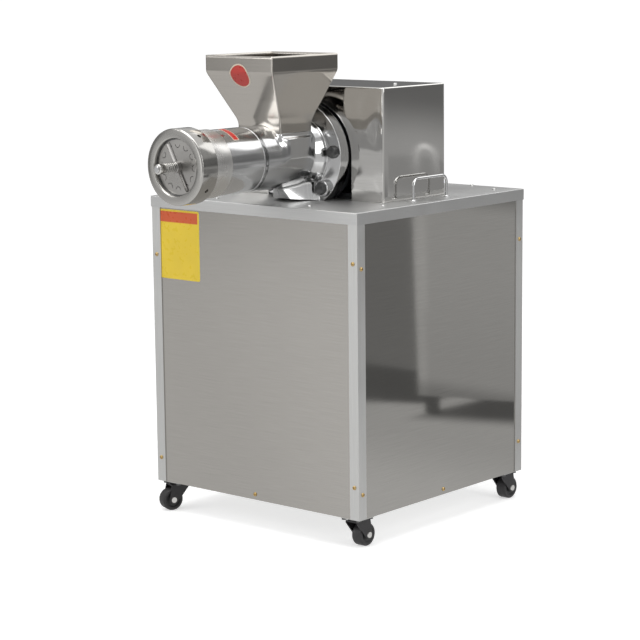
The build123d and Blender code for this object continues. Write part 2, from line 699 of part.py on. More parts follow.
for corner in CORNERS:
    with BuildPart() as caster_fork:
        with BuildSketch(caster_side(corner)):
            with Locations((CASTER_TRAIL, WHEEL_R)):
                Circle(FORK_LEG_R)
            with Locations((FORK_SHIFT, CROWN_Z - CROWN_H - FORK_T)):
                Rectangle(2 * (CROWN_R + FORK_SHIFT), 2 * FORK_T)
            make_hull()
        extrude(amount=LEG_X + FORK_T, both=True)
        with BuildSketch(caster_side(corner)):
            Rectangle(4 * WHEEL_R, 2 * (CROWN_Z - CROWN_H - FORK_T))
        extrude(amount=LEG_X, both=True, mode=Mode.SUBTRACT)
        with BuildSketch(caster_frame(corner, CROWN_Z)):
            Circle(CROWN_R)
        extrude(amount=-CROWN_H)
        with BuildSketch(caster_frame(corner, CROWN_Z)):
            Circle(KINGPIN_R + PIN_PLAY)
        extrude(amount=-2 * CROWN_H, mode=Mode.SUBTRACT)
        with BuildSketch(caster_side(corner)):
            with Locations((CASTER_TRAIL, WHEEL_R)):
                Circle(AXLE_R + PIN_PLAY)
        extrude(amount=2 * LEG_X, both=True, mode=Mode.SUBTRACT)
    write(caster_fork, f"caster_fork_{corner}")

    with BuildPart() as caster_wheel:
        with BuildSketch(caster_side(corner)):
            with Locations((CASTER_TRAIL, WHEEL_R)):
                Circle(WHEEL_R)
        extrude(amount=WHEEL_W / 2, both=True)
        fillet(caster_wheel.edges(), WHEEL_EDGE_R)
        with BuildSketch(caster_side(corner)):
            with Locations((CASTER_TRAIL, WHEEL_R)):
                Circle(WHEEL_HUB_R)
        extrude(amount=LEG_X - SEAT_GAP, both=True)
        with BuildSketch(caster_side(corner)):
            with Locations((CASTER_TRAIL, WHEEL_R)):
                Circle(AXLE_R + PIN_PLAY)
        extrude(amount=2 * LEG_X, both=True, mode=Mode.SUBTRACT)
    write(caster_wheel, f"caster_wheel_{corner}")

    with BuildPart() as caster_axle:
        with BuildSketch(caster_side(corner)):
            with Locations((CASTER_TRAIL, WHEEL_R)):
                Circle(AXLE_R)
        extrude(amount=LEG_X + FORK_T, both=True)
        with BuildSketch(caster_side(corner).offset(LEG_X + FORK_T)):
            with Locations((CASTER_TRAIL, WHEEL_R)):
                Circle(AXLE_HEAD_R)
        extrude(amount=AXLE_HEAD_H, taper=HEAD_TAPER)
        with BuildSketch(caster_side(corner).offset(-LEG_X - FORK_T)):
            with Locations((CASTER_TRAIL, WHEEL_R)):
                Circle(AXLE_HEAD_R)
        extrude(amount=-AXLE_HEAD_H, taper=HEAD_TAPER)
    write(caster_axle, f"caster_axle_{corner}")

# ================================================================ extruder
BARREL_PLANE = side_plane(AXIS_X, 0, AXIS_Z)     # half section: x along +Y, y is the radius
BARREL_AXIS = axis_y(AXIS_X, AXIS_Z)
FLOOR_OF_TABLE = Plane.XY.offset(TABLE_Z)


def ring_spots(radius, angles, x=AXIS_X, z=AXIS_Z):
    """Points on a circle about an axis along Y, for sketches on a front plane."""
    return [(x + radius * cos(radians(a)), z + radius * sin(radians(a))) for a in angles]


GROOVE_REAR_Y = FLANGE_Y - GROOVE_Y
GROOVE_STARTS = (GROOVE_REAR_Y - GROOVE_W, GROOVE_REAR_Y - GROOVE_GAP - GROOVE_W)



def bolt_spots(angles):
    """Flange bolts at the given angles, for sketches on a front plane."""
    return ring_spots(BOLT_CIRCLE_R, angles, z=FLANGE_Z)


def throat_section(climb):
    """Level outline of the fillet between the throat (0) and the hopper's neck (1), on a parabola."""
    flare = (1 - climb) ** 2
    width = HOPPER_NECK_W + flare * (THROAT_W - HOPPER_NECK_W)
    depth = HOPPER_NECK_D + flare * (THROAT_D - HOPPER_NECK_D)
    radius = HOPPER_NECK_R + flare * (THROAT_R - HOPPER_NECK_R)
    with BuildSketch(Plane.XY.offset(THROAT_TOP_Z + climb * THROAT_FILLET_H)) as section:
        with Locations((AXIS_X, THROAT_CY)):
            RectangleRounded(width, depth, radius)
    return section.sketch


def foot_front():
    """Raked front face of the pedestal."""
    drop = FOOT_TOP - FOOT_LIFT
    plane = Plane(
        origin=(AXIS_X, FLANGE_Y - FOOT_D, TABLE_Z + FOOT_TOP),
        x_dir=(1, 0, 0),
        z_dir=(0, -drop, -FOOT_RAKE),
    )
    slant = (drop**2 + FOOT_RAKE**2) ** 0.5
    low, high = FOOT_FRONT_W / 2, FOOT_CREST_W / 2
    with BuildSketch(plane) as face:
        with BuildLine():
            Polyline((-low, -slant), (low, -slant), (high, 0), (-high, 0), close=True)
        make_face()
    return face.sketch


def foot_rear():
    """Rear end of the pedestal, inside the flange."""
    with BuildSketch(front_plane(FLANGE_Y + FLANGE_T / 2, AXIS_X, TABLE_Z)) as face:
        with Locations((0, FOOT_TOP / 2)):
            Rectangle(FOOT_W, FOOT_TOP)
    return face.sketch


# Barrel: one casting with flange, hub, feed throat, threaded neck and pedestal
with BuildPart() as barrel:
    with BuildSketch(BARREL_PLANE):
        with BuildLine():
            Polyline(
                (SEAT_Y, 0),
                (SEAT_Y, BARREL_R),
                (COLLAR_Y, BARREL_R),
                (COLLAR_Y, COLLAR_R),
                (COLLAR_Y + COLLAR_L, COLLAR_R),
                (COLLAR_Y + COLLAR_L, BARREL_R),
                (FLANGE_Y - HUB_L, BARREL_R),
                (FLANGE_Y - HUB_RIM_L, HUB_R),
                (MOUTH_Y, HUB_R),
                (MOUTH_Y, 0),
                close=True,
            )
        make_face()
        with BuildLine():
            for start in GROOVE_STARTS:
                Polyline(
                    (start, BARREL_R + OVERCUT),
                    (start, BARREL_R - GROOVE_DEEP),
                    (start + GROOVE_W, BARREL_R - GROOVE_DEEP),
                    (start + GROOVE_W, BARREL_R + OVERCUT),
                    close=True,
                )
        make_face(mode=Mode.SUBTRACT)
    revolve(axis=BARREL_AXIS)
    with BuildSketch(front_plane(FLANGE_Y)):
        with Locations((AXIS_X, FLANGE_Z)):
            Circle(FLANGE_R)
    extrude(amount=-FLANGE_T)
    # Raised ears for the two lower bolts
    with BuildSketch(front_plane(FLANGE_Y)):
        with Locations(*bolt_spots(EAR_ANGLES)):
            Circle(EAR_R)
    extrude(amount=EAR_L)
    # Feed throat and the hollow fillet above it
    with BuildSketch(Plane.XY.offset(AXIS_Z)):
        with Locations((AXIS_X, THROAT_CY)):
            RectangleRounded(THROAT_W, THROAT_D, THROAT_R)
    extrude(amount=THROAT_H)
    climbs = [step / THROAT_FILLET_STEPS for step in range(THROAT_FILLET_STEPS + 1)]
    loft([throat_section(climb) for climb in climbs], ruled=True)
    # Pedestal: narrow and raked at its front, flaring to the flange
    loft([foot_front(), foot_rear()])
    # Round flange cut flat where it stands on the table
    with BuildSketch(FLOOR_OF_TABLE):
        with Locations((AXIS_X, FLANGE_Y)):
            Rectangle(3 * FLANGE_R, 3 * FLANGE_R)
    extrude(amount=-FLANGE_R, mode=Mode.SUBTRACT)
    # Bore, journal bore, feed opening and bolt holes
    with BuildSketch(front_plane(SEAT_Y)):
        with Locations((AXIS_X, AXIS_Z)):
            Circle(BORE_R)
    extrude(amount=-BARREL_L, mode=Mode.SUBTRACT)
    with BuildSketch(front_plane(FLANGE_Y)):
        with Locations((AXIS_X, AXIS_Z)):
            Circle(JOURNAL_R + JOURNAL_PLAY)
    extrude(amount=-FLANGE_T, mode=Mode.SUBTRACT)
    with BuildSketch(Plane.XY.offset(AXIS_Z)):
        with Locations((AXIS_X, THROAT_CY)):
            Rectangle(THROAT_OPEN_W, THROAT_OPEN_D)
    extrude(amount=BARREL_R + OVERCUT, mode=Mode.SUBTRACT)
    with BuildSketch(front_plane(FLANGE_Y - EAR_L)):
        with Locations(*bolt_spots(BOLT_ANGLES + EAR_ANGLES)):
            Circle(BOLT_R + BOLT_PLAY)
    extrude(amount=-EAR_L - FLANGE_T, mode=Mode.SUBTRACT)
write(barrel, "barrel")

# Hex bolts of the flange, shanks running into the gearbox
with BuildPart() as barrel_bolts:
    for head_y, angles in ((FLANGE_Y, BOLT_ANGLES), (FLANGE_Y - EAR_L, EAR_ANGLES)):
        with BuildSketch(front_plane(head_y)):
            with Locations(*bolt_spots(angles)):
                RegularPolygon(hexagon_r(BOLT_HEAD_AF), 6)
        extrude(amount=BOLT_HEAD_H)
        with BuildSketch(front_plane(head_y)):
            with Locations(*bolt_spots(angles)):
                Circle(BOLT_R)
        extrude(amount=-(MOUTH_Y - head_y + BOLT_DEPTH - BOLT_END_GAP))
write(barrel_bolts, "barrel_bolts")

# Hopper: square funnel with a vertical band, its neck saddled over the barrel
def hopper_section(z, width, depth, centre_y, radius, inset):
    """One level cross-section of the hopper."""
    with BuildSketch(Plane.XY.offset(z)) as section:
        with Locations((AXIS_X, centre_y)):
            RectangleRounded(width - 2 * inset, depth - 2 * inset, radius - inset)
    return section.sketch


def hopper_levels(inset):
    """Cross-sections from the neck's foot round the bend to the band: their growth follows a parabola."""
    levels = [(HOPPER_FOOT_Z, 0.0)]
    for step in range(HOPPER_BEND_STEPS + 1):
        t = step / HOPPER_BEND_STEPS
        levels.append((HOPPER_NECK_Z + HOPPER_BEND * (2 * t - 1), HOPPER_BEND * t**2))
    levels.append((HOPPER_BAND_Z, HOPPER_BAND_Z - HOPPER_NECK_Z))
    sections = []
    for z, climb in levels:
        share = climb / (HOPPER_BAND_Z - HOPPER_NECK_Z)
        sizes = [
            neck + share * (rim - neck)
            for neck, rim in (
                (HOPPER_NECK_W, HOPPER_W),
                (HOPPER_NECK_D, HOPPER_D),
                (THROAT_CY, HOPPER_CY),
                (HOPPER_NECK_R, HOPPER_RIM_R),
            )
        ]
        sections.append(hopper_section(z, *sizes, inset))
    return sections


with BuildPart() as hopper:
    for inset, mode in ((0.0, Mode.ADD), (HOPPER_SHEET, Mode.SUBTRACT)):
        sections = hopper_levels(inset)
        loft(sections, ruled=True, mode=mode)
        extrude(sections[-1], amount=HOPPER_BAND, mode=mode)
    with BuildSketch(front_plane(SEAT_Y)):
        with Locations((AXIS_X, AXIS_Z)):
            Circle(BARREL_R + HOPPER_PLAY)
    extrude(amount=-BARREL_L, mode=Mode.SUBTRACT)
write(hopper, "hopper")

# Feed screw: journal, root, nose and the cutter's spindle in one piece, with its flight
FLIGHT_START_Y = SEAT_Y + NOSE_L
FLIGHT_L = BARREL_L - NOSE_L - FLIGHT_END_GAP
FLIGHT_ROOT_R = ROOT_R - OVERCUT
with BuildPart() as auger:
    with BuildSketch(BARREL_PLANE):
        with BuildLine():
            Polyline(
                (TIP_Y, 0),
                (TIP_Y, SHAFT_R - SHAFT_EDGE),
                (TIP_Y + SHAFT_EDGE, SHAFT_R),
                (SEAT_Y + NOSE_GAP, SHAFT_R),
                (SEAT_Y + NOSE_GAP, NOSE_TIP_R),
                (SEAT_Y + NOSE_L, ROOT_R),
                (FLANGE_Y - SEAT_GAP, ROOT_R),
                (FLANGE_Y - SEAT_GAP, JOURNAL_R),
                (MOUTH_Y - SEAT_GAP, JOURNAL_R),
                (MOUTH_Y - SEAT_GAP, 0),
                close=True,
            )
        make_face()
    revolve(axis=BARREL_AXIS)
    with BuildLine():
        thread = Helix(
            pitch=FLIGHT_PITCH,
            height=FLIGHT_L,
            radius=FLIGHT_ROOT_R,
            center=(AXIS_X, FLIGHT_START_Y, AXIS_Z),
            direction=(0, 1, 0),
        )
    start = thread @ 0
    outwards = (start - Vector(AXIS_X, start.Y, AXIS_Z)).normalized()
    with BuildSketch(Plane(origin=start, x_dir=outwards, z_dir=thread % 0)):
        with Locations(((FLIGHT_R - FLIGHT_ROOT_R) / 2, 0)):
            Rectangle(FLIGHT_R - FLIGHT_ROOT_R, FLIGHT_T)
    sweep(path=thread, is_frenet=True)
    with BuildSketch(front_plane(MOUTH_Y)):
        with Locations((AXIS_X, AXIS_Z)):
            Rectangle(TONGUE_W + 2 * SEAT_GAP, 3 * JOURNAL_R)
    extrude(amount=TONGUE_L + SEAT_GAP, mode=Mode.SUBTRACT)
write(auger, "auger")

# Die: disc with a ring of curved slots
with BuildPart() as die_plate:
    with BuildSketch(front_plane(SEAT_Y)):
        with Locations((AXIS_X, AXIS_Z)):
            Circle(DIE_R)
            Circle(SHAFT_R + DIE_BORE_PLAY, mode=Mode.SUBTRACT)
            with PolarLocations(DIE_SLOT_PCR, DIE_SLOTS):
                SlotArc(
                    CenterArc((0, 0), DIE_SLOT_R, 180 - DIE_SLOT_ARC / 2, DIE_SLOT_ARC),
                    DIE_SLOT_W,
                    mode=Mode.SUBTRACT,
                )
    extrude(amount=DIE_T)
write(die_plate, "die_plate")

# Ring nut: front wall with a wide opening, radial holes for a pin spanner
RING_L = RING_FRONT_T + DIE_T + NECK_L - SEAT_GAP
RING_SEAT_Y = RING_Y - RING_GAP
with BuildPart() as ring_nut:
    with BuildSketch(BARREL_PLANE):
        with BuildLine():
            Polyline(
                (RING_SEAT_Y, RING_OPEN_R + RING_EDGE),
                (RING_SEAT_Y, RING_R - RING_EDGE),
                (RING_SEAT_Y + RING_EDGE, RING_R),
                (RING_SEAT_Y + RING_L - RING_TAIL_EDGE, RING_R),
                (RING_SEAT_Y + RING_L, RING_R - RING_TAIL_EDGE),
                (RING_SEAT_Y + RING_L, BARREL_R + THREAD_PLAY),
                (RING_SEAT_Y + RING_FRONT_T, BARREL_R + THREAD_PLAY),
                (RING_SEAT_Y + RING_FRONT_T, RING_OPEN_R),
                (RING_SEAT_Y + RING_EDGE, RING_OPEN_R),
                close=True,
            )
        make_face()
    revolve(axis=BARREL_AXIS)
    for hole in range(RING_HOLES):
        turn = RING_HOLE_ANGLE + hole * 360 / RING_HOLES
        spoke = Vector(cos(radians(turn)), 0, sin(radians(turn)))
        rim = Vector(AXIS_X, RING_SEAT_Y + RING_HOLE_Y, AXIS_Z) + spoke * (RING_R + OVERCUT)
        with BuildSketch(Plane(origin=rim, x_dir=(0, 1, 0), z_dir=spoke)):
            Circle(RING_HOLE_R)
        extrude(amount=-RING_HOLE_DEEP - OVERCUT, mode=Mode.SUBTRACT)
write(ring_nut, "ring_nut")

# Cutter: two thin arms on a hub, pressed to the die by a spring
with BuildPart() as cutter_blade:
    with BuildSketch(front_plane(BLADE_Y)):
        with Locations((AXIS_X, AXIS_Z)):
            SlotOverall(2 * BLADE_R, BLADE_W, rotation=BLADE_ANGLE)
    extrude(amount=BLADE_T)
    with BuildSketch(front_plane(BLADE_Y)):
        with Locations((AXIS_X, AXIS_Z)):
            Circle(BLADE_HUB_R)
    extrude(amount=BLADE_HUB_L)
    with BuildSketch(front_plane(BLADE_Y)):
        with Locations((AXIS_X, AXIS_Z)):
            Circle(SHAFT_R + BLADE_BORE_PLAY)
    extrude(amount=BLADE_HUB_L, mode=Mode.SUBTRACT)
write(cutter_blade, "cutter_blade")

COIL_L = SPRING_L - 2 * SPRING_WIRE_R - 2 * SPRING_END_GAP
with BuildPart() as cutter_spring:
    with BuildLine():
        coil = Helix(
            pitch=COIL_L / SPRING_TURNS,
            height=COIL_L,
            radius=SPRING_R,
            center=(AXIS_X, SPRING_Y - SPRING_WIRE_R - SPRING_END_GAP, AXIS_Z),
            direction=(0, -1, 0),
        )
    with BuildSketch(Plane(origin=coil @ 0, z_dir=coil % 0)):
        Circle(SPRING_WIRE_R)
    sweep(path=coil, is_frenet=True)
write(cutter_spring, "cutter_spring")

with BuildPart() as cutter_nut:
    with BuildSketch(front_plane(CUTTER_NUT_Y)):
        with Locations((AXIS_X, AXIS_Z)):
            Circle(CUTTER_NUT_R)
            Circle(SHAFT_R + BLADE_BORE_PLAY, mode=Mode.SUBTRACT)
    extrude(amount=CUTTER_NUT_L)
    chamfer(cutter_nut.edges().filter_by(GeomType.CIRCLE).group_by(SortBy.RADIUS)[-1], CUTTER_NUT_EDGE)
write(cutter_nut, "cutter_nut")

# ================================================================ gearbox
GEAR_CASE_R = PITCH_R + MODULE + GEARBOX_ROOM + GEARBOX_WALL
PINION_CASE_R = PINION_PITCH_R + MODULE + GEARBOX_ROOM + GEARBOX_WALL


def gear_outline(inset, y):
    """Pear-shaped outline round both gears, on a front plane."""
    with BuildSketch(front_plane(y)) as outline:
        with Locations((AXIS_X, AXIS_Z)):
            Circle(GEAR_CASE_R - inset)
        with Locations((IN_X, AXIS_Z)):
            Circle(PINION_CASE_R - inset)
        make_hull()
    return outline.sketch


# Case: pear-shaped casting on two feet, with the round nose that carries the barrel
with BuildPart() as gearbox_case:
    extrude(gear_outline(0.0, BOX_Y), amount=-GEARBOX_D + GEARBOX_WALL)
    with BuildSketch(front_plane(BOX_Y)):
        with Locations((AXIS_X, FLANGE_Z)):
            Circle(GEARBOX_NOSE_R)
    extrude(amount=GEARBOX_NOSE_L)
    with BuildSketch(Plane.XY.offset(TABLE_Z)):
        with Locations(((BOX_X0 + BOX_X1) / 2, BOX_MID_Y)):
            Rectangle(BOX_X1 - BOX_X0 + 2 * GEARBOX_FOOT_W, 2 * FEET_BOLT_Y + 2 * GEARBOX_FOOT_H)
    extrude(amount=GEARBOX_FOOT_H)
    with BuildSketch(FLOOR_OF_TABLE):
        with Locations((AXIS_X, BOX_Y)):
            Rectangle(3 * FLANGE_R, 3 * FLANGE_R)
    extrude(amount=-FLANGE_R, mode=Mode.SUBTRACT)
    # Room for the gears, open to the rear
    extrude(gear_outline(GEARBOX_WALL, BOX_Y + GEARBOX_WALL), amount=-GEARBOX_D, mode=Mode.SUBTRACT)
    with BuildSketch(front_plane(MOUTH_Y)):
        with Locations((AXIS_X, AXIS_Z)):
            Circle(OUT_SHAFT_R + SHAFT_PLAY)
    extrude(amount=-GEARBOX_NOSE_L - GEARBOX_WALL, mode=Mode.SUBTRACT)
    with BuildSketch(front_plane(MOUTH_Y)):
        with Locations(*bolt_spots(BOLT_ANGLES + EAR_ANGLES)):
            Circle(BOLT_R + BOLT_PLAY)
    extrude(amount=-BOLT_DEPTH, mode=Mode.SUBTRACT)
    with BuildSketch(front_plane(BOX_Y + SEAT_FLOOR)):
        with Locations((IN_X, AXIS_Z)):
            Circle(IN_SHAFT_R + SHAFT_PLAY)
    extrude(amount=-GEARBOX_WALL, mode=Mode.SUBTRACT)
    with BuildSketch(FLOOR_OF_TABLE):
        with Locations(*GEARBOX_FEET):
            Circle(FEET_BOLT_R + SCREW_PLAY)
    extrude(amount=GEARBOX_FOOT_H, mode=Mode.SUBTRACT)
write(gearbox_case, "gearbox_case")

# Lid: rear wall with a blind seat for the output shaft and a bore for the input shaft
with BuildPart() as gearbox_lid:
    extrude(gear_outline(0.0, BOX_REAR_Y - GEARBOX_WALL), amount=-GEARBOX_WALL)
    with BuildSketch(front_plane(BOX_REAR_Y)):
        with Locations((IN_X, AXIS_Z)):
            Circle(LID_BOSS_R)
    extrude(amount=-LID_BOSS_L)
    with BuildSketch(front_plane(BOX_REAR_Y - GEARBOX_WALL)):
        with Locations((IN_X, AXIS_Z)):
            Circle(IN_SHAFT_R + SHAFT_PLAY)
    extrude(amount=-GEARBOX_WALL - LID_BOSS_L, mode=Mode.SUBTRACT)
    with BuildSketch(front_plane(BOX_REAR_Y - GEARBOX_WALL)):
        with Locations((AXIS_X, AXIS_Z)):
            Circle(OUT_SHAFT_R + SHAFT_PLAY)
    extrude(amount=-GEARBOX_WALL + SEAT_FLOOR, mode=Mode.SUBTRACT)
write(gearbox_lid, "gearbox_lid")

with BuildPart() as gearbox_bolts:
    with BuildSketch(Plane.XY.offset(TABLE_Z + GEARBOX_FOOT_H)):
        with Locations(*GEARBOX_FEET):
            RegularPolygon(hexagon_r(FEET_HEAD_AF), 6)
    extrude(amount=FEET_HEAD_H)
    with BuildSketch(Plane.XY.offset(TABLE_Z + GEARBOX_FOOT_H)):
        with Locations(*GEARBOX_FEET):
            Circle(FEET_BOLT_R)
    extrude(amount=-GEARBOX_FOOT_H - TABLE_T - RAIL_T - FEET_BOLT_END)
    with BuildSketch(Plane.XY.offset(UNDER_TABLE_Z - RAIL_T)):
        with Locations(*GEARBOX_FEET):
            RegularPolygon(hexagon_r(FEET_HEAD_AF), 6)
    extrude(amount=-FEET_NUT_H)
write(gearbox_bolts, "gearbox_bolts")


def gear_face(teeth, x, y, first_angle):
    """Spur gear cross-section with straight-flanked teeth."""
    root = MODULE * (teeth / 2 - DEDENDUM)
    tip = MODULE * (teeth / 2 + 1)
    half_tooth = MODULE * pi / 4 - GEAR_BACKLASH / 2
    half_root = half_tooth + FLANK_WIDER * MODULE
    half_tip = half_tooth - FLANK_SLIMMER * MODULE
    with BuildSketch(front_plane(y, x, AXIS_Z)) as face:
        Circle(root)
        with PolarLocations(0, teeth, start_angle=first_angle):
            Polygon(
                (root - TOOTH_LAP, -half_root),
                (root - TOOTH_LAP, half_root),
                (tip, half_tip),
                (tip, -half_tip),
                align=None,
            )
    return face.sketch


GEAR_FRONT_Y = BOX_MID_Y - GEAR_W / 2
with BuildPart() as output_gear:
    extrude(gear_face(GEAR_TEETH, AXIS_X, GEAR_FRONT_Y, 0.0), amount=-GEAR_W)
    with BuildSketch(front_plane(GEAR_FRONT_Y, AXIS_X, AXIS_Z)):
        Circle(OUT_SHAFT_R)
    extrude(amount=-GEAR_W, mode=Mode.SUBTRACT)
write(output_gear, "output_gear")

with BuildPart() as output_shaft:
    with BuildSketch(front_plane(MOUTH_Y, AXIS_X, AXIS_Z)):
        Circle(OUT_SHAFT_R)
    extrude(amount=-(BOX_REAR_Y - MOUTH_Y - SEAT_FLOOR - SHAFT_END_GAP))
    with BuildSketch(front_plane(MOUTH_Y, AXIS_X, AXIS_Z)):
        Circle(OUT_SHAFT_R)
        Rectangle(TONGUE_W, 2 * OUT_SHAFT_R, mode=Mode.INTERSECT)
    extrude(amount=TONGUE_L)
write(output_shaft, "output_shaft")

with BuildPart() as input_shaft:
    with BuildSketch(front_plane(BOX_Y + SEAT_FLOOR + SHAFT_END_GAP, IN_X, AXIS_Z)):
        Circle(IN_SHAFT_R)
    extrude(amount=-(PULLEY_FRONT_Y + PULLEY_W - BOX_Y - SEAT_FLOOR))
    extrude(gear_face(PINION_TEETH, IN_X, GEAR_FRONT_Y, 180 / PINION_TEETH), amount=-GEAR_W)
write(input_shaft, "input_shaft")


def pulley_outline(radius, y):
    """Half section of a two-groove V pulley: x along +Y, y is the radius."""
    points = [(y, 0), (y, radius)]
    for groove in (-1, 1):
        middle = y + PULLEY_W / 2 + groove * GROOVE_PITCH / 2
        points += [
            (middle - BELT_TOP_W / 2 - PULLEY_GROOVE_PLAY, radius),
            (middle - BELT_BOTTOM_W / 2 - PULLEY_GROOVE_PLAY, radius - PULLEY_GROOVE_DEEP),
            (middle + BELT_BOTTOM_W / 2 + PULLEY_GROOVE_PLAY, radius - PULLEY_GROOVE_DEEP),
            (middle + BELT_TOP_W / 2 + PULLEY_GROOVE_PLAY, radius),
        ]
    return points + [(y + PULLEY_W, radius), (y + PULLEY_W, 0)]


with BuildPart() as driven_pulley:
    with BuildSketch(side_plane(IN_X, 0, AXIS_Z)):
        with BuildLine():
            Polyline(*pulley_outline(DRIVEN_PULLEY_R, PULLEY_FRONT_Y), close=True)
        make_face()
    revolve(axis=axis_y(IN_X, AXIS_Z))
    with BuildSketch(front_plane(PULLEY_FRONT_Y, IN_X, AXIS_Z)):
        Circle(IN_SHAFT_R)
        with PolarLocations(PULLEY_HOLE_PCR, PULLEY_HOLES):
            Circle(PULLEY_HOLE_R)
    extrude(amount=-PULLEY_W, mode=Mode.SUBTRACT)
write(driven_pulley, "driven_pulley")

with BuildPart() as motor_pulley:
    with BuildSketch(side_plane(MOTOR_X, 0, MOTOR_Z)):
        with BuildLine():
            Polyline(*pulley_outline(MOTOR_PULLEY_R, PULLEY_FRONT_Y), close=True)
        make_face()
    revolve(axis=axis_y(MOTOR_X, MOTOR_Z))
    with BuildSketch(front_plane(PULLEY_FRONT_Y, MOTOR_X, MOTOR_Z)):
        Circle(MOTOR_SHAFT_R)
    extrude(amount=-PULLEY_W, mode=Mode.SUBTRACT)
write(motor_pulley, "motor_pulley")


def belt_loop(outset):
    """Outline of a belt at a given height over the bottom of its groove."""
    with BuildSketch(front_plane(BELT_Y)) as loop:
        with Locations((IN_X, AXIS_Z)):
            Circle(DRIVEN_PULLEY_R - PULLEY_GROOVE_DEEP + outset)
        with Locations((MOTOR_X, MOTOR_Z)):
            Circle(MOTOR_PULLEY_R - PULLEY_GROOVE_DEEP + outset)
        make_hull()
    return loop.sketch


with BuildPart() as v_belts:
    for groove in (-1, 1):
        shift = Location((0, groove * GROOVE_PITCH / 2, 0))
        extrude(belt_loop(BELT_PLAY + BELT_H).moved(shift), amount=BELT_BOTTOM_W / 2, both=True)
    for groove in (-1, 1):
        shift = Location((0, groove * GROOVE_PITCH / 2, 0))
        extrude(belt_loop(BELT_PLAY).moved(shift), amount=BELT_BOTTOM_W, both=True, mode=Mode.SUBTRACT)
write(v_belts, "v_belts")

# ================================================================ motor
MOTOR_REAR_Y = MOTOR_FRONT_Y - MOTOR_L           # fan end
MOTOR_FEET_Y = (MOTOR_FRONT_Y - MOTOR_FOOT_INSET, MOTOR_REAR_Y + MOTOR_FOOT_INSET)
MOTOR_FOOT_Z = CASTER_H + PAN_T + MOTOR_RAIL_H   # underside of the feet
MOTOR_BOLT_SPOTS = [
    (MOTOR_X + dx * (MOTOR_FOOT_W / 2 - MOTOR_BOLT_INSET), y) for dx in (-1, 1) for y in MOTOR_FEET_Y
]
with BuildPart() as motor_housing:
    with BuildSketch(front_plane(MOTOR_FRONT_Y, MOTOR_X, MOTOR_Z)):
        Circle(MOTOR_R - MOTOR_FIN_H)
    extrude(amount=MOTOR_L)
    with BuildSketch(front_plane(MOTOR_FRONT_Y - MOTOR_SHIELD_L, MOTOR_X, MOTOR_Z)):
        with PolarLocations(MOTOR_R - MOTOR_FIN_H, MOTOR_FINS):
            Rectangle(2 * MOTOR_FIN_H, MOTOR_FIN_T)
    extrude(amount=MOTOR_L - 2 * MOTOR_SHIELD_L)
    for end_y in (MOTOR_FRONT_Y, MOTOR_REAR_Y + MOTOR_SHIELD_L):
        with BuildSketch(front_plane(end_y, MOTOR_X, MOTOR_Z)):
            Circle(MOTOR_R)
        extrude(amount=MOTOR_SHIELD_L)
    for foot_y in MOTOR_FEET_Y:
        with BuildSketch(Plane.XY.offset(MOTOR_FOOT_Z)):
            with Locations((MOTOR_X, foot_y)):
                Rectangle(MOTOR_FOOT_W, MOTOR_FOOT_D)
        extrude(amount=MOTOR_FOOT_T)
        with BuildSketch(Plane.XY.offset(MOTOR_FOOT_Z)):
            with Locations((MOTOR_X, foot_y)):
                Rectangle(MOTOR_R, MOTOR_FOOT_D)
        extrude(amount=MOTOR_Z - MOTOR_FOOT_Z)
    with BuildSketch(Plane.XY.offset(MOTOR_FOOT_Z)):
        with Locations(*MOTOR_BOLT_SPOTS):
            Circle(MOTOR_BOLT_R + SCREW_PLAY)
    extrude(amount=MOTOR_FOOT_T, mode=Mode.SUBTRACT)
    with BuildSketch(front_plane(MOTOR_FRONT_Y, MOTOR_X, MOTOR_Z)):
        Circle(MOTOR_SHAFT_R + SHAFT_PLAY)
    extrude(amount=MOTOR_L, mode=Mode.SUBTRACT)
write(motor_housing, "motor_housing")

with BuildPart() as motor_shaft:
    with BuildSketch(front_plane(PULLEY_FRONT_Y + PULLEY_W, MOTOR_X, MOTOR_Z)):
        Circle(MOTOR_SHAFT_R)
    extrude(amount=PULLEY_FRONT_Y + PULLEY_W - MOTOR_REAR_Y + FAN_COVER_L / 2)
write(motor_shaft, "motor_shaft")

with BuildPart() as motor_fan:
    with BuildSketch(front_plane(MOTOR_REAR_Y - FAN_GAP, MOTOR_X, MOTOR_Z)):
        Circle(FAN_HUB_R)
        with PolarLocations(FAN_R / 2, FAN_BLADES):
            Rectangle(FAN_R, FAN_BLADE_T)
        Circle(MOTOR_SHAFT_R, mode=Mode.SUBTRACT)
    extrude(amount=FAN_L)
write(motor_fan, "motor_fan")

with BuildPart() as motor_fan_cover:
    with BuildSketch(front_plane(MOTOR_REAR_Y, MOTOR_X, MOTOR_Z)):
        Circle(MOTOR_R - FAN_COVER_STEP)
    extrude(amount=FAN_COVER_L)
    with BuildSketch(front_plane(MOTOR_REAR_Y, MOTOR_X, MOTOR_Z)):
        Circle(MOTOR_R - FAN_COVER_STEP - FAN_COVER_T)
    extrude(amount=FAN_COVER_L - FAN_COVER_T, mode=Mode.SUBTRACT)
    with BuildSketch(front_plane(MOTOR_REAR_Y - FAN_COVER_L + FAN_COVER_T, MOTOR_X, MOTOR_Z)):
        with PolarLocations(FAN_SLOT_PCR, FAN_SLOTS):
            SlotOverall(FAN_SLOT_L, FAN_SLOT_W)
    extrude(amount=FAN_COVER_T, mode=Mode.SUBTRACT)
write(motor_fan_cover, "motor_fan_cover")

with BuildPart() as motor_terminal_box:
    with BuildSketch(Plane.XY.offset(MOTOR_Z + MOTOR_R)):
        with Locations((MOTOR_X, (MOTOR_FRONT_Y + MOTOR_REAR_Y) / 2)):
            RectangleRounded(TERMINAL_W, TERMINAL_D, TERMINAL_R)
    extrude(amount=TERMINAL_H)
write(motor_terminal_box, "motor_terminal_box")

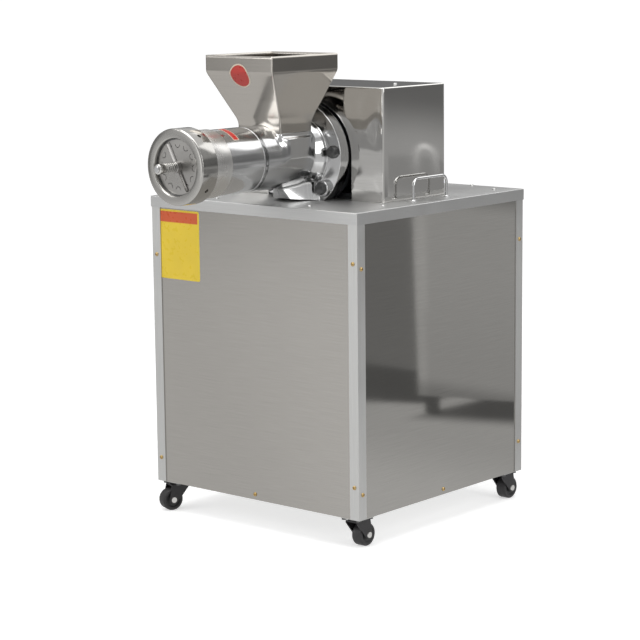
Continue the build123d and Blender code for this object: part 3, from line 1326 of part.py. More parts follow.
# Two box rails that lift the motor's feet off the pan
with BuildPart() as motor_rails:
    for foot_y in MOTOR_FEET_Y:
        with BuildSketch(side_plane(-PAN_X + PAN_WALL_T, foot_y, CASTER_H + PAN_T)):
            with Locations((0, MOTOR_RAIL_H / 2)):
                Rectangle(MOTOR_RAIL_W, MOTOR_RAIL_H)
                Rectangle(MOTOR_RAIL_W - 2 * RAIL_T, MOTOR_RAIL_H - 2 * RAIL_T, mode=Mode.SUBTRACT)
        extrude(amount=2 * (PAN_X - PAN_WALL_T))
    with BuildSketch(Plane.XY.offset(MOTOR_FOOT_Z)):
        with Locations(*MOTOR_BOLT_SPOTS):
            Circle(MOTOR_BOLT_R + SCREW_PLAY)
    extrude(amount=-RAIL_T, mode=Mode.SUBTRACT)
write(motor_rails, "motor_rails")

with BuildPart() as motor_bolts:
    with BuildSketch(Plane.XY.offset(MOTOR_FOOT_Z + MOTOR_FOOT_T)):
        with Locations(*MOTOR_BOLT_SPOTS):
            RegularPolygon(hexagon_r(MOTOR_HEAD_AF), 6)
    extrude(amount=MOTOR_HEAD_H)
    with BuildSketch(Plane.XY.offset(MOTOR_FOOT_Z + MOTOR_FOOT_T)):
        with Locations(*MOTOR_BOLT_SPOTS):
            Circle(MOTOR_BOLT_R)
    extrude(amount=-MOTOR_FOOT_T - MOTOR_BOLT_END)
write(motor_bolts, "motor_bolts")

# ================================================================ gear cover
COVER_MID_Y = COVER_FRONT_Y + COVER_D / 2
COVER_SCREWS = [(AXIS_X + side * COVER_SCREW_REACH, COVER_FRONT_Y + COVER_SCREW_Y) for side in (-1, 1)]
COVER_TOP_Z = TABLE_Z + COVER_H
with BuildPart() as gear_cover:
    with BuildSketch(Plane.XY.offset(TABLE_Z)):
        with Locations((AXIS_X, COVER_MID_Y)):
            Rectangle(COVER_W, COVER_D)
    extrude(amount=COVER_H)
    with BuildSketch(Plane.XY.offset(TABLE_Z)):
        with Locations((AXIS_X, COVER_MID_Y)):
            Rectangle(COVER_W - 2 * COVER_T, COVER_D - 2 * COVER_T)
    extrude(amount=COVER_H - COVER_T, mode=Mode.SUBTRACT)
    with BuildSketch(front_plane(COVER_FRONT_Y, AXIS_X, FLANGE_Z)):
        Circle(FLANGE_R + COVER_SLOT_GAP)
        with Locations((0, -AXIS_H / 2)):
            Rectangle(2 * (FLANGE_R + COVER_SLOT_GAP), AXIS_H)
    extrude(amount=-COVER_T, mode=Mode.SUBTRACT)
    with BuildSketch(Plane.XY.offset(COVER_TOP_Z)):
        with Locations(*COVER_SCREWS):
            Circle(SCREW_R + SCREW_PLAY)
    extrude(amount=-COVER_T, mode=Mode.SUBTRACT)
write(gear_cover, "gear_cover")

# Folded bracket on the gearbox's rear wall that the cover is screwed to
with BuildPart() as cover_bracket:
    foot_z = AXIS_Z + GEAR_CASE_R - BRACKET_LAP
    top_z = COVER_TOP_Z - COVER_T
    far_y = COVER_FRONT_Y + COVER_SCREW_Y + BRACKET_EDGE
    with BuildSketch(side_plane(AXIS_X)):
        with BuildLine():
            Polyline(
                (BOX_REAR_Y, foot_z),
                (BOX_REAR_Y + BRACKET_T, foot_z),
                (BOX_REAR_Y + BRACKET_T, top_z - BRACKET_T),
                (far_y, top_z - BRACKET_T),
                (far_y, top_z),
                (BOX_REAR_Y, top_z),
                close=True,
            )
        make_face()
    extrude(amount=COVER_SCREW_REACH + BRACKET_EDGE, both=True)
    with BuildSketch(Plane.XY.offset(COVER_TOP_Z)):
        with Locations(*COVER_SCREWS):
            Circle(SCREW_R + SCREW_PLAY)
    extrude(amount=-COVER_T - BRACKET_T - OVERCUT, mode=Mode.SUBTRACT)
write(cover_bracket, "cover_bracket")

# Pan-head screws of the panels, the table and the cover, all alike
SCREW_FACES = [
    (plane.offset(-POST_T if spot[0] == 0 else 0.0), spot)
    for side, plane in SIDES.items()
    for spot in screw_spots(side)
]
SCREW_FACES += [(Plane.XY.offset(TABLE_Z), spot) for spot in TABLE_SCREWS]
SCREW_FACES += [(Plane.XY.offset(COVER_TOP_Z), spot) for spot in COVER_SCREWS]
with BuildPart() as sheet_screws:
    for plane, spot in SCREW_FACES:
        with BuildSketch(plane):
            with Locations(spot):
                Circle(SCREW_HEAD_R)
        extrude(amount=SCREW_HEAD_H, taper=HEAD_TAPER)
        with BuildSketch(plane):
            with Locations(spot):
                Circle(SCREW_R)
        extrude(amount=-SCREW_L)
write(sheet_screws, "sheet_screws")

# ================================================================ controls and cable entry
BUTTON_FACE = SIDES["left"].offset(-POST_T)      # outer face of the left panel
with BuildPart() as button_bezels:
    with BuildSketch(BUTTON_FACE):
        with Locations(*BUTTONS.values()):
            Circle(BEZEL_R)
    extrude(amount=BEZEL_T)
    with BuildSketch(BUTTON_FACE):
        with Locations(*BUTTONS.values()):
            Circle(BEZEL_BODY_R)
    extrude(amount=-BEZEL_BODY_L)
    with BuildSketch(BUTTON_FACE.offset(BEZEL_T)):
        with Locations(*BUTTONS.values()):
            Circle(BUTTON_R + BUTTON_PLAY)
    extrude(amount=-BEZEL_T - BUTTON_WELL, mode=Mode.SUBTRACT)
write(button_bezels, "button_bezels")

for name, spot in BUTTONS.items():
    with BuildPart() as button:
        with BuildSketch(BUTTON_FACE.offset(BEZEL_T + BUTTON_PROUD)):
            with Locations(spot):
                Circle(BUTTON_R)
        extrude(amount=BUTTON_TRAVEL + SEAT_GAP - BUTTON_PROUD - BEZEL_T - BUTTON_WELL)
    write(button, f"{name}_button")

with BuildPart() as cable_gland:
    gland_face = SIDES["rear"].offset(-POST_T)
    with BuildSketch(gland_face):
        with Locations(GLAND_SPOT):
            RegularPolygon(hexagon_r(GLAND_AF), 6)
    extrude(amount=GLAND_HEX_L)
    with BuildSketch(gland_face.offset(GLAND_HEX_L)):
        with Locations(GLAND_SPOT):
            Circle(GLAND_CAP_R)
    extrude(amount=GLAND_CAP_L)
    with BuildSketch(gland_face):
        with Locations(GLAND_SPOT):
            Circle(GLAND_THREAD_R)
    extrude(amount=-PANEL_T - GLAND_TAIL_L)
    with BuildSketch(gland_face.offset(-PANEL_T)):
        with Locations(GLAND_SPOT):
            RegularPolygon(hexagon_r(GLAND_AF), 6)
    extrude(amount=-GLAND_NUT_H)
    with BuildSketch(gland_face.offset(GLAND_HEX_L + GLAND_CAP_L)):
        with Locations(GLAND_SPOT):
            Circle(GLAND_BORE_R)
    extrude(amount=-GLAND_HEX_L - GLAND_CAP_L - PANEL_T - GLAND_TAIL_L, mode=Mode.SUBTRACT)
write(cable_gland, "cable_gland")
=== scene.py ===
# %% [markdown]
# # A pasta extruder on wheels, dressed in Blender
# The machine comes in as a fixed frame of exact solids. Each cell below makes one visible piece or one
# finish, says what it is on the real machine, and why it is made this way. Lengths inside the cells are
# millimetres; the mesh builder turns them into metres.

# %% The frame
import math

import bmesh
import bpy
import numpy as np
from mathutils import Matrix, Vector


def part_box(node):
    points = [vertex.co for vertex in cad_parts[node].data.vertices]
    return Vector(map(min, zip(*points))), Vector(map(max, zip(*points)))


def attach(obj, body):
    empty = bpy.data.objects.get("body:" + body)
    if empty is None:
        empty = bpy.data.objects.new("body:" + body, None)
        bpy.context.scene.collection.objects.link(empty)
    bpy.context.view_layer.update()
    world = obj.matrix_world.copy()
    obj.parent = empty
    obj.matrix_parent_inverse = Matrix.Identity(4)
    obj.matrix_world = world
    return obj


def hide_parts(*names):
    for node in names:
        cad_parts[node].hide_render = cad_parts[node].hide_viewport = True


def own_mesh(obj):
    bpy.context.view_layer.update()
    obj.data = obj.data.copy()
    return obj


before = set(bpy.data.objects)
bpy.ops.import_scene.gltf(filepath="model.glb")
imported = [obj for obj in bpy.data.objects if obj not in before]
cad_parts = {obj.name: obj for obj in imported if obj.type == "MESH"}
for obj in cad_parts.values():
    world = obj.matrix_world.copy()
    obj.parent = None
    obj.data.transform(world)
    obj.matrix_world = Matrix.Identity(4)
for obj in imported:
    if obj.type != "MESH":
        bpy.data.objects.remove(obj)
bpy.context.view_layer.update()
MM = 0.001


def span(node):
    """Lowest and highest corner of a solid, in millimetres."""
    low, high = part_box(node)
    return np.array(low) / MM, np.array(high) / MM


# %% [markdown]
# ## Surfaces from arrays
# Polished steel shows every facet, so the shiny pieces are worked out as smooth surfaces. A surface is a
# grid of points: one direction goes round the piece, the other goes along its profile. All points of a
# grid are computed at once with numpy, and the faces join each point to its neighbours.

# %% Grids, shells and pieces
def grid_faces(rows, columns, close_rows, close_columns):
    """Four-sided faces of a grid of points: each face takes a point, its neighbour along the row, and the two
    points after them."""
    i = np.arange(rows if close_rows else rows - 1)
    j = np.arange(columns if close_columns else columns - 1)
    a, b = np.meshgrid(i, j, indexing="ij")
    c, d = (a + 1) % rows, (b + 1) % columns
    return np.stack([a * columns + b, a * columns + d, c * columns + d, c * columns + b], -1).reshape(-1, 4)


def shell(points, close_rows=True, close_columns=False, caps=False, skip=None, inward=False):
    """A surface from a (rows, columns, 3) array. Its faces are turned outwards by the sign of its volume, or
    inwards for a bore. caps closes both ends of the columns; skip is a mask of faces left out."""
    rows, columns = points.shape[:2]
    quads = grid_faces(rows, columns, close_rows, close_columns)
    if skip is not None:
        quads = quads[~skip.reshape(-1)]
    faces = quads.tolist()
    if caps:
        ring = np.arange(rows) * columns
        faces += [ring.tolist(), (ring[::-1] + columns - 1).tolist()]
    flat = points.reshape(-1, 3)
    middle = flat.mean(0)
    a, b, c, d = (flat[quads[:, k]] - middle for k in range(4))
    volume = (np.cross(a, b) * c).sum() + (np.cross(a, c) * d).sum()
    if (volume < 0) != inward:
        faces = [f[::-1] for f in faces]
    return flat, faces


def piece(name, shells, finish, body, stands_for=(), sharp=35.0):
    """One object from several shells, in metres, smooth but for edges sharper than the angle sharp."""
    points, faces, count = [], [], 0
    for flat, part in shells:
        points.append(flat)
        faces += [[v + count for v in f] for f in part]
        count += len(flat)
    mesh = bpy.data.meshes.new(name)
    mesh.from_pydata((np.concatenate(points) * MM).tolist(), [], faces)
    bm = bmesh.new()
    bm.from_mesh(mesh)
    bmesh.ops.remove_doubles(bm, verts=bm.verts, dist=2e-6)
    bmesh.ops.dissolve_degenerate(bm, edges=bm.edges, dist=2e-6)
    bm.to_mesh(mesh)
    bm.free()
    mesh.validate()
    mesh.shade_smooth()
    mesh.set_sharp_from_angle(angle=math.radians(sharp))
    thing = bpy.data.objects.new(name, mesh)
    bpy.context.scene.collection.objects.link(thing)
    mesh.materials.append(finish)
    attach(thing, body)
    if stands_for:
        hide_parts(*stands_for)
    print(name, len(mesh.polygons), "faces")
    return thing


def rounded(points, cut, steps=5, closed=False):
    """A profile with soft corners: each corner becomes a quadratic curve that starts and ends at the distance
    cut from it, or at nearly half of the shorter side."""
    p = np.asarray(points, float)
    cuts = np.broadcast_to(np.asarray(cut, float), len(p)).copy()
    before, after = np.roll(p, 1, 0) - p, np.roll(p, -1, 0) - p
    if not closed:
        cuts[[0, -1]] = 0
    long_before = np.linalg.norm(before, axis=1)
    long_after = np.linalg.norm(after, axis=1)
    cuts = np.minimum(cuts, 0.48 * np.minimum(long_before, long_after))
    start = p + before * (cuts / long_before)[:, None]
    end = p + after * (cuts / long_after)[:, None]
    t = np.linspace(0, 1, steps + 1)[None, :, None]
    curve = start[:, None] * (1 - t) ** 2 + 2 * t * (1 - t) * p[:, None] + end[:, None] * t**2
    return curve.reshape(-1, p.shape[1])


def turned(profile, centre, segments=144, close_profile=False):
    """A lathe-turned surface about a line along Y: profile is (y, radius) pairs, centre is (x, z)."""
    turn = np.linspace(0, 2 * np.pi, segments, endpoint=False)[:, None]
    y, r = np.asarray(profile, float).T
    grid = np.stack([centre[0] + np.cos(turn) * r, y + 0 * turn, centre[1] + np.sin(turn) * r], -1)
    return shell(grid, close_rows=True, close_columns=close_profile)


def along(path, radius, sides):
    """A round bar: circles of the given radius set square to a smooth flat path. The path's tangent crossed
    with the line square to its plane gives the circles' first direction, and crossed again the second."""
    path = np.asarray(path, float)
    tangent = np.gradient(path, axis=0)
    tangent /= np.linalg.norm(tangent, axis=1)[:, None]
    spread = np.linalg.svd(path - path.mean(0))[2][2]
    across = np.cross(tangent, spread)
    across /= np.linalg.norm(across, axis=1)[:, None]
    up = np.cross(across, tangent)
    turn = np.linspace(0, 2 * np.pi, sides, endpoint=False)[:, None, None]
    grid = path[None] + radius * (np.cos(turn) * across[None] + np.sin(turn) * up[None])
    return shell(grid, caps=True)


def placed(part, x_dir, y_dir, z_dir, origin):
    """A shell drawn about the origin, put in its place: its X, Y and Z go along the three given
    directions."""
    flat, faces = part
    return flat @ np.array([x_dir, y_dir, z_dir], float) + np.asarray(origin, float), faces


print("helpers for grids, shells and pieces are ready")

# %% [markdown]
# ## Finishes
# Every finish is built from a shader and a few textures read in object space, so a grain of half a
# millimetre stays half a millimetre on any piece. The textures feed three things: how rough the surface
# is, how its colour drifts, and the fine relief that catches the light.

# %% Building a finish
class Finish:
    """A material with its shader, and short ways to add texture to it."""

    def __init__(self, name, colour, metal, rough, **sockets):
        self.material = bpy.data.materials.new(name)
        self.material.use_nodes = True
        self.tree = self.material.node_tree
        self.shader = self.tree.nodes["Principled BSDF"]
        self.colour = colour
        self.set("Base Color", (*colour, 1.0))
        self.set("Metallic", metal)
        self.set("Roughness", rough)
        for socket, value in sockets.items():
            self.set(socket.replace("_", " "), value)
        self.material.diffuse_color = (*colour, 1.0)
        self.place = self.tree.nodes.new("ShaderNodeTexCoord").outputs["Object"]
        self.relief_out = None

    def set(self, socket, value):
        """Sets one socket of the shader to a plain value."""
        self.shader.inputs[socket].default_value = value

    def noise(self, per_metre, stretch=(1, 1, 1), detail=3.0, sharp=0.5, twist=0.0):
        """Soft noise with per_metre grains in a metre. A small number in stretch draws it out along that
        axis."""
        mapping = self.tree.nodes.new("ShaderNodeMapping")
        mapping.inputs["Scale"].default_value = stretch
        self.tree.links.new(self.place, mapping.inputs["Vector"])
        noise = self.tree.nodes.new("ShaderNodeTexNoise")
        noise.inputs["Scale"].default_value = per_metre
        noise.inputs["Detail"].default_value = detail
        noise.inputs["Roughness"].default_value = sharp
        noise.inputs["Distortion"].default_value = twist
        self.tree.links.new(mapping.outputs["Vector"], noise.inputs["Vector"])
        return noise.outputs["Fac"]

    def spread(self, source, low, high):
        """The source, read between 0.3 and 0.7, where noise mostly lies, turned into a value from low to
        high."""
        spread = self.tree.nodes.new("ShaderNodeMapRange")
        for socket, value in zip(("From Min", "From Max", "To Min", "To Max"), (0.3, 0.7, low, high)):
            spread.inputs[socket].default_value = value
        self.tree.links.new(source, spread.inputs["Value"])
        return spread.outputs["Result"]

    def rough(self, source, low, high):
        """Roughness from low to high, as the source varies."""
        self.tree.links.new(self.spread(source, low, high), self.shader.inputs["Roughness"])
        return self

    def tint(self, source, darker, lighter):
        """Base colour from the finish's colour times darker to its colour times lighter."""
        mix = self.tree.nodes.new("ShaderNodeMix")
        mix.data_type = "RGBA"
        shades = [(*(c * k for c, k in zip(self.colour, gain)), 1.0) for gain in (darker, lighter)]
        mix.inputs[6].default_value, mix.inputs[7].default_value = shades
        self.tree.links.new(self.spread(source, 0.0, 1.0), mix.inputs[0])
        self.tree.links.new(mix.outputs[2], self.shader.inputs["Base Color"])
        return self

    def relief(self, source, millimetres):
        """Raises the surface by up to that many millimetres where the source is 1. Reliefs add up."""
        bump = self.tree.nodes.new("ShaderNodeBump")
        bump.inputs["Distance"].default_value = millimetres * MM
        bump.inputs["Strength"].default_value = 1.0
        self.tree.links.new(source, bump.inputs["Height"])
        if self.relief_out:
            self.tree.links.new(self.relief_out, bump.inputs["Normal"])
        self.relief_out = bump.outputs["Normal"]
        self.tree.links.new(self.relief_out, self.shader.inputs["Normal"])
        return self


def grey(k):
    """The same gain for red, green and blue."""
    return (k, k, k)


def dress(finish, *nodes):
    """Gives a finish to solids of the frame."""
    for name in nodes:
        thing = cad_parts[name]
        for slot in thing.material_slots:
            slot.material = finish.material


# %% [markdown]
# ## Sheet steel
# The panels are rolled stainless sheet with a bright, slightly brushed face. Three things make sheet look
# like sheet: fine straight grain, a slow unevenness that bends reflections, and faint cloudy wiping marks.

# %% Sheet steel
def sheet_steel(name, colour, rough, grain_axis, wave=0.25):
    """Rolled sheet: grain drawn out along one axis, slow waves that grow with wave, and wiping marks."""
    finish = Finish(name, colour, 1.0, rough)
    stretch = [1.0, 1.0, 1.0]
    stretch[grain_axis] = 0.012
    grain = finish.noise(900.0, tuple(stretch), detail=4.0, sharp=0.7)
    clouds = finish.noise(3.0, detail=4.0, sharp=0.6, twist=0.8)
    finish.rough(clouds, rough * 0.8, rough * 1.3)
    finish.tint(grain, grey(0.93), grey(1.05))
    finish.relief(finish.noise(2.6, detail=1.0, sharp=0.4), wave * 12)
    finish.relief(grain, 0.006)
    return finish


front_sheet = sheet_steel("front_sheet", (0.42, 0.405, 0.38), 0.15, 0)
side_sheet = sheet_steel("side_sheet", (0.40, 0.39, 0.37), 0.055, 1, wave=0.06)
table_sheet = sheet_steel("table_sheet", (0.53, 0.53, 0.525), 0.40, 0, wave=0.08)
post_sheet = sheet_steel("post_sheet", (0.57, 0.57, 0.56), 0.42, 2, wave=0.05)
cover_sheet = sheet_steel("cover_sheet", (0.62, 0.61, 0.59), 0.07, 0, wave=0.3)
hopper_sheet = sheet_steel("hopper_sheet", (0.46, 0.435, 0.40), 0.14, 0, wave=0.3)
dress(front_sheet, "front_panel", "rear_panel")
dress(side_sheet, "right_panel", "left_panel")
dress(table_sheet, "table_top")
dress(post_sheet, *[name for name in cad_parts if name.startswith("corner_post")])
dress(cover_sheet, "gear_cover")
dress(hopper_sheet, "hopper")
print("sheet finishes:", front_sheet.material.name, "and five more")

# %% [markdown]
# ## Turned and polished steel
# The barrel, the ring nut and the die are turned on a lathe and polished. Turning leaves rings round the
# axis: grain drawn out round the piece, which here comes from noise read along the axis alone.

# %% Turned steel
def turned_steel(name, colour, rough, rings=1400.0, ring_height=0.004):
    """Polished turned metal: fine rings from noise that changes along Y alone, and faint polishing waves."""
    finish = Finish(name, colour, 1.0, rough)
    lathe = finish.noise(rings, (0.004, 1.0, 0.004), detail=3.0, sharp=0.6)
    clouds = finish.noise(9.0, detail=3.0, sharp=0.6, twist=0.5)
    finish.rough(clouds, rough * 0.75, rough * 1.35)
    finish.tint(lathe, grey(0.92), grey(1.06))
    finish.relief(finish.noise(22.0, detail=2.0), 0.08)
    finish.relief(lathe, ring_height)
    return finish


CASTERS = ("front_left", "front_right", "rear_left", "rear_right")
barrel_steel = turned_steel("barrel_steel", (0.60, 0.60, 0.60), 0.13)
collar_steel = turned_steel("collar_steel", (0.66, 0.65, 0.63), 0.27, ring_height=0.01)
ring_steel = turned_steel("ring_steel", (0.45, 0.44, 0.42), 0.12, ring_height=0.003)
die_steel = turned_steel("die_steel", (0.37, 0.36, 0.345), 0.30)
bright_steel = turned_steel("bright_steel", (0.66, 0.65, 0.63), 0.16)
handle_steel = turned_steel("handle_steel", (0.60, 0.60, 0.60), 0.14, rings=300.0)
spring_steel = turned_steel("spring_steel", (0.42, 0.41, 0.39), 0.22, rings=300.0)
blade_steel = turned_steel("blade_steel", (0.34, 0.33, 0.32), 0.14)
dress(barrel_steel, "barrel", "auger", "output_shaft", "input_shaft")
dress(ring_steel, "ring_nut")
dress(die_steel, "die_plate")
dress(bright_steel, "cutter_blade", "cutter_nut", "cutter_spring", *["caster_axle_" + c for c in CASTERS])
dress(handle_steel, "handle")
print("turned finishes:", barrel_steel.material.name, "and seven more")

# %% [markdown]
# ## Bolts, screws and hidden iron
# Bolts are dark and a little rough, from black oxide and hands. Sheet screws are yellow zinc. What sits
# inside the cabinet is cast or painted, and is given the finish that it has when someone opens a panel.

# %% Bolts, screws and hidden iron
dark_bolt = Finish("dark_bolt", (0.10, 0.10, 0.10), 1.0, 0.4)
dark_bolt.rough(dark_bolt.noise(120.0, detail=3.0), 0.3, 0.5)
dark_bolt.tint(dark_bolt.noise(60.0, detail=4.0, twist=1.0), grey(0.7), grey(1.7))
dark_bolt.relief(dark_bolt.noise(700.0, detail=2.0), 0.02)
yellow_zinc = Finish("yellow_zinc", (0.55, 0.40, 0.17), 1.0, 0.3)
yellow_zinc.rough(yellow_zinc.noise(300.0, detail=2.0), 0.22, 0.4)
yellow_zinc.tint(yellow_zinc.noise(90.0, detail=2.0), (0.85, 0.8, 0.7), (1.1, 1.1, 1.25))
yellow_zinc.relief(yellow_zinc.noise(900.0, detail=2.0), 0.01)
plated = Finish("plated", (0.55, 0.55, 0.54), 1.0, 0.34)
plated.rough(plated.noise(80.0, detail=3.0), 0.26, 0.44)
plated.relief(plated.noise(600.0, detail=3.0), 0.01)
cast_iron = Finish("cast_iron", (0.16, 0.16, 0.17), 0.6, 0.55)
cast_iron.rough(cast_iron.noise(200.0, detail=3.0), 0.45, 0.7)
cast_iron.relief(cast_iron.noise(450.0, detail=4.0, sharp=0.7), 0.15)
gear_steel = Finish("gear_steel", (0.42, 0.41, 0.39), 1.0, 0.35)
gear_steel.rough(gear_steel.noise(90.0, detail=3.0), 0.25, 0.5)
gear_steel.tint(gear_steel.noise(14.0, detail=4.0), grey(0.7), grey(1.1))


def painted(name, colour):
    """Sprayed paint on a casting: orange-peel relief over a slower unevenness of the casting."""
    finish = Finish(name, colour, 0.0, 0.42)
    finish.rough(finish.noise(30.0, detail=3.0), 0.36, 0.52)
    finish.tint(finish.noise(12.0, detail=3.0), grey(0.85), grey(1.12))
    finish.relief(finish.noise(220.0, detail=2.0), 0.12)
    finish.relief(finish.noise(900.0, detail=1.0), 0.02)
    return finish


gearbox_paint = painted("gearbox_paint", (0.035, 0.037, 0.04))
motor_paint = painted("motor_paint", (0.06, 0.12, 0.22))
dress(dark_bolt, "barrel_bolts", "gearbox_bolts", "motor_bolts", "caster_bolts")
dress(yellow_zinc, "sheet_screws")
dress(plated, "handle_nuts", "caster_plates", "base_pan", "table_rails", "motor_rails", "cover_bracket")
dress(cast_iron, "driven_pulley", "motor_pulley")
dress(gear_steel, "output_gear", "motor_shaft")
dress(gearbox_paint, "gearbox_case", "gearbox_lid")
dress(motor_paint, "motor_housing", "motor_fan_cover", "motor_terminal_box")
print("finishes for bolts, iron and paint:", dark_bolt.material.name, "and six more")

# %% [markdown]
# ## Rubber and plastic
# Tyres and belts are matt and dusty; the moulded plastic of forks, buttons and gland has a faint grain.

# %% Rubber and plastic
def moulded(name, colour, rough, dust=0.0, grain=0.03):
    """Moulded plastic or rubber: fine grain, and dust that lightens the colour in slow patches."""
    finish = Finish(name, colour, 0.0, rough)
    finish.rough(finish.noise(60.0, detail=3.0), rough * 0.85, min(1.0, rough * 1.2))
    finish.tint(finish.noise(35.0, detail=4.0, sharp=0.6), grey(0.85), grey(1.15 + dust))
    finish.relief(finish.noise(1100.0, detail=2.0), grain)
    return finish


tyre_rubber = moulded("tyre_rubber", (0.020, 0.019, 0.020), 0.55, dust=0.8)
belt_rubber = moulded("belt_rubber", (0.02, 0.02, 0.02), 0.7, dust=0.6)
fork_black = moulded("fork_black", (0.012, 0.011, 0.012), 0.36)
black_plastic = moulded("black_plastic", (0.02, 0.02, 0.021), 0.45)
green_plastic = moulded("green_plastic", (0.02, 0.28, 0.07), 0.33, grain=0.01)
red_plastic = moulded("red_plastic", (0.45, 0.015, 0.015), 0.33, grain=0.01)
wheel_plastic = moulded("wheel_plastic", (0.018, 0.018, 0.019), 0.42, dust=0.4)
dress(tyre_rubber, *["caster_wheel_" + c for c in CASTERS])
dress(fork_black, *["caster_fork_" + c for c in CASTERS])
dress(belt_rubber, "v_belts")
dress(black_plastic, "cable_gland", "motor_fan")
dress(plated, "button_bezels")
dress(green_plastic, "start_button")
dress(red_plastic, "stop_button")
print("materials so far:", len(bpy.data.materials))

# %% [markdown]
# ## Barrel casting
# On the real machine the barrel, its feed throat, the cone at its root and the pedestal are one steel
# casting, and everywhere two forms meet there is a hollow fillet. Joining separate solids would show hard
# creases. Here the forms round the axis are distance fields, the fields are joined with a fillet, and rays
# sent out from the axis find where they leave the casting: one radius for each angle and each place along
# the axis, which is a surface over two parameters. The pedestal's sides run nearly along those rays, which
# would show as ripples, so it is a wall drawn up from its own outline, with its fillet bent onto the tube.

# %% Places on the extruding head
ring_low, ring_high = span("ring_nut")
barrel_low, barrel_high = span("barrel")
AXIS_X, AXIS_Z = (ring_low[0] + ring_high[0]) / 2, (ring_low[2] + ring_high[2]) / 2
SEAT_Y, MOUTH_Y = barrel_low[1], barrel_high[1]
FLANGE_Y = MOUTH_Y - 30.0
FLANGE_Z = AXIS_Z - 4.0
TABLE_Z = span("table_top")[1][2]
THROAT_Y = FLANGE_Y - 79.0
BARREL_R, BORE_R, NECK_TOP = 70.0, 51.0, 53.8
print("axis at", AXIS_X, AXIS_Z, "barrel from", SEAT_Y, "to", MOUTH_Y)


# %% Distance fields of the casting
def joined(a, b, fillet):
    """Union of two distance fields: the smaller one, lowered by a parabola where they differ by less than
    the fillet."""
    h = np.clip(0.5 + 0.5 * (b - a) / fillet, 0, 1)
    return b * (1 - h) + a * h - fillet * h * (1 - h)


def common(a, b, edge):
    """Intersection of two distance fields with its edge rounded in the same way."""
    return -joined(-a, -b, edge)


def plan_distance(x, y, half_x, half_y, corner):
    """Distance in plan to a rectangle with round corners, negative inside."""
    over_x, over_y = np.abs(x) - half_x + corner, np.abs(y) - half_y + corner
    outside = np.hypot(np.maximum(over_x, 0), np.maximum(over_y, 0))
    return outside + np.minimum(np.maximum(over_x, over_y), 0) - corner


def body_radius(y):
    """Radius of the round body near the flange: the tube, then a cone that eases into the hub's rim."""
    knots = FLANGE_Y - np.array([200, 36, 33, 29, 8, 5, 2.5, 0.8, 0])
    return np.interp(y, knots, BARREL_R + np.array([0, 0, 0.35, 1.5, 9.0, 9.8, 10.0, 10.3, 11.5]))


def casting_field(x, y, z):
    """Less than zero inside the casting; x and z are measured from the barrel's axis."""
    tube = np.hypot(x, z) - body_radius(y)
    along = y - THROAT_Y
    block = common(common(plan_distance(x, along, 70.0, 53.0, 24.0), z - 42.0, 5.0), -z, 1.0)
    neck = common(common(plan_distance(x, along, 60.9, 50.9, 4.0), z - NECK_TOP, 1.0), -z, 1.0)
    return joined(tube, joined(block, neck, 14.0), 7.0)


# %% Rays from the axis
RAY_FROM, RAY_TO, RAY_STEP = 60.0, 100.0, 1.5


def leave_radius(angles, places):
    """Last radius inside the casting, for every angle and place along Y: coarse steps, then halving."""
    turn, y = np.meshgrid(np.radians(angles), places, indexing="ij")
    steps = np.arange(RAY_FROM, RAY_TO, RAY_STEP)
    inside = np.stack([casting_field(np.cos(turn) * r, y, np.sin(turn) * r) < 0 for r in steps])
    last = len(steps) - 1 - inside[::-1].argmax(0)
    low = steps[last]
    high = low + RAY_STEP
    for _ in range(10):
        middle = (low + high) / 2
        within = casting_field(np.cos(turn) * middle, y, np.sin(turn) * middle) < 0
        low, high = np.where(within, middle, low), np.where(within, high, middle)
    return (low + high) / 2


HOLE_HALF_X, HOLE_HALF_Y = 50.0, 39.0
hole_angle = math.degrees(math.atan2(NECK_TOP, HOLE_HALF_X))
quarter = np.concatenate([
    np.arange(-90, -24, 1.5), np.arange(-24, 24, 3.0), np.arange(24, hole_angle - 0.3, 0.55),
    np.linspace(hole_angle, 90, 18)[:-1],
])
angles = np.concatenate([quarter, [90.0], 180 - quarter[:0:-1]])
rear_places = np.concatenate([
    np.arange(-200, -148, 4.0), np.arange(-148, THROAT_Y - HOLE_HALF_Y, 1.3),
    np.linspace(THROAT_Y - HOLE_HALF_Y, THROAT_Y + HOLE_HALF_Y, 40),
    np.arange(THROAT_Y + HOLE_HALF_Y + 1, FLANGE_Y - 6, 1.2), np.linspace(FLANGE_Y - 6, FLANGE_Y + 0.4, 10),
])
rear_radii = leave_radius(angles, rear_places)
print("casting grid", rear_radii.shape, "radius", rear_radii.min().round(2), "to", rear_radii.max().round(2))


# %% Tube, casting, bore and feed opening
def round_axis(y, r, angles):
    """Points at the given angles, places and radii round the barrel's axis."""
    turn = np.radians(angles)[:, None]
    return np.stack([AXIS_X + np.cos(turn) * r, y + 0 * turn, AXIS_Z + np.sin(turn) * r], -1)


GROOVES = FLANGE_Y - np.array([176.0, 188.0])
COLLAR_FROM, COLLAR_TO = SEAT_Y + 25.0, SEAT_Y + 77.0
tube_line = [(SEAT_Y, 52.0), (SEAT_Y, 69.7), (COLLAR_FROM + 4, 69.7), (COLLAR_TO - 1, 69.7),
    (COLLAR_TO, 70.0)]
for start in GROOVES[::-1]:
    tube_line += [(start - 3.4, 70.0), (start - 2.9, 69.4), (start - 1.1, 69.4), (start - 0.6, 70.0)]
tube_line = rounded(tube_line, 0.3, 3)
tube_y = np.concatenate([tube_line[:, 0], rear_places])
tube_r = np.concatenate([np.broadcast_to(tube_line[:, 1], (len(angles), len(tube_line))), rear_radii], 1)
outer_grid = round_axis(tube_y, tube_r, angles)


def feed_hole(angles, places, hole_from):
    """Mask of the faces over the feed opening: between its two angles and its two ends."""
    mid_angle = (angles + np.roll(angles, -1)) / 2
    mid_place = (places[1:] + places[:-1]) / 2
    over = (mid_angle > hole_from) & (mid_angle < 180 - hole_from)
    beside = np.abs(mid_place - THROAT_Y) < HOLE_HALF_Y
    return over[:, None] & beside[None, :]


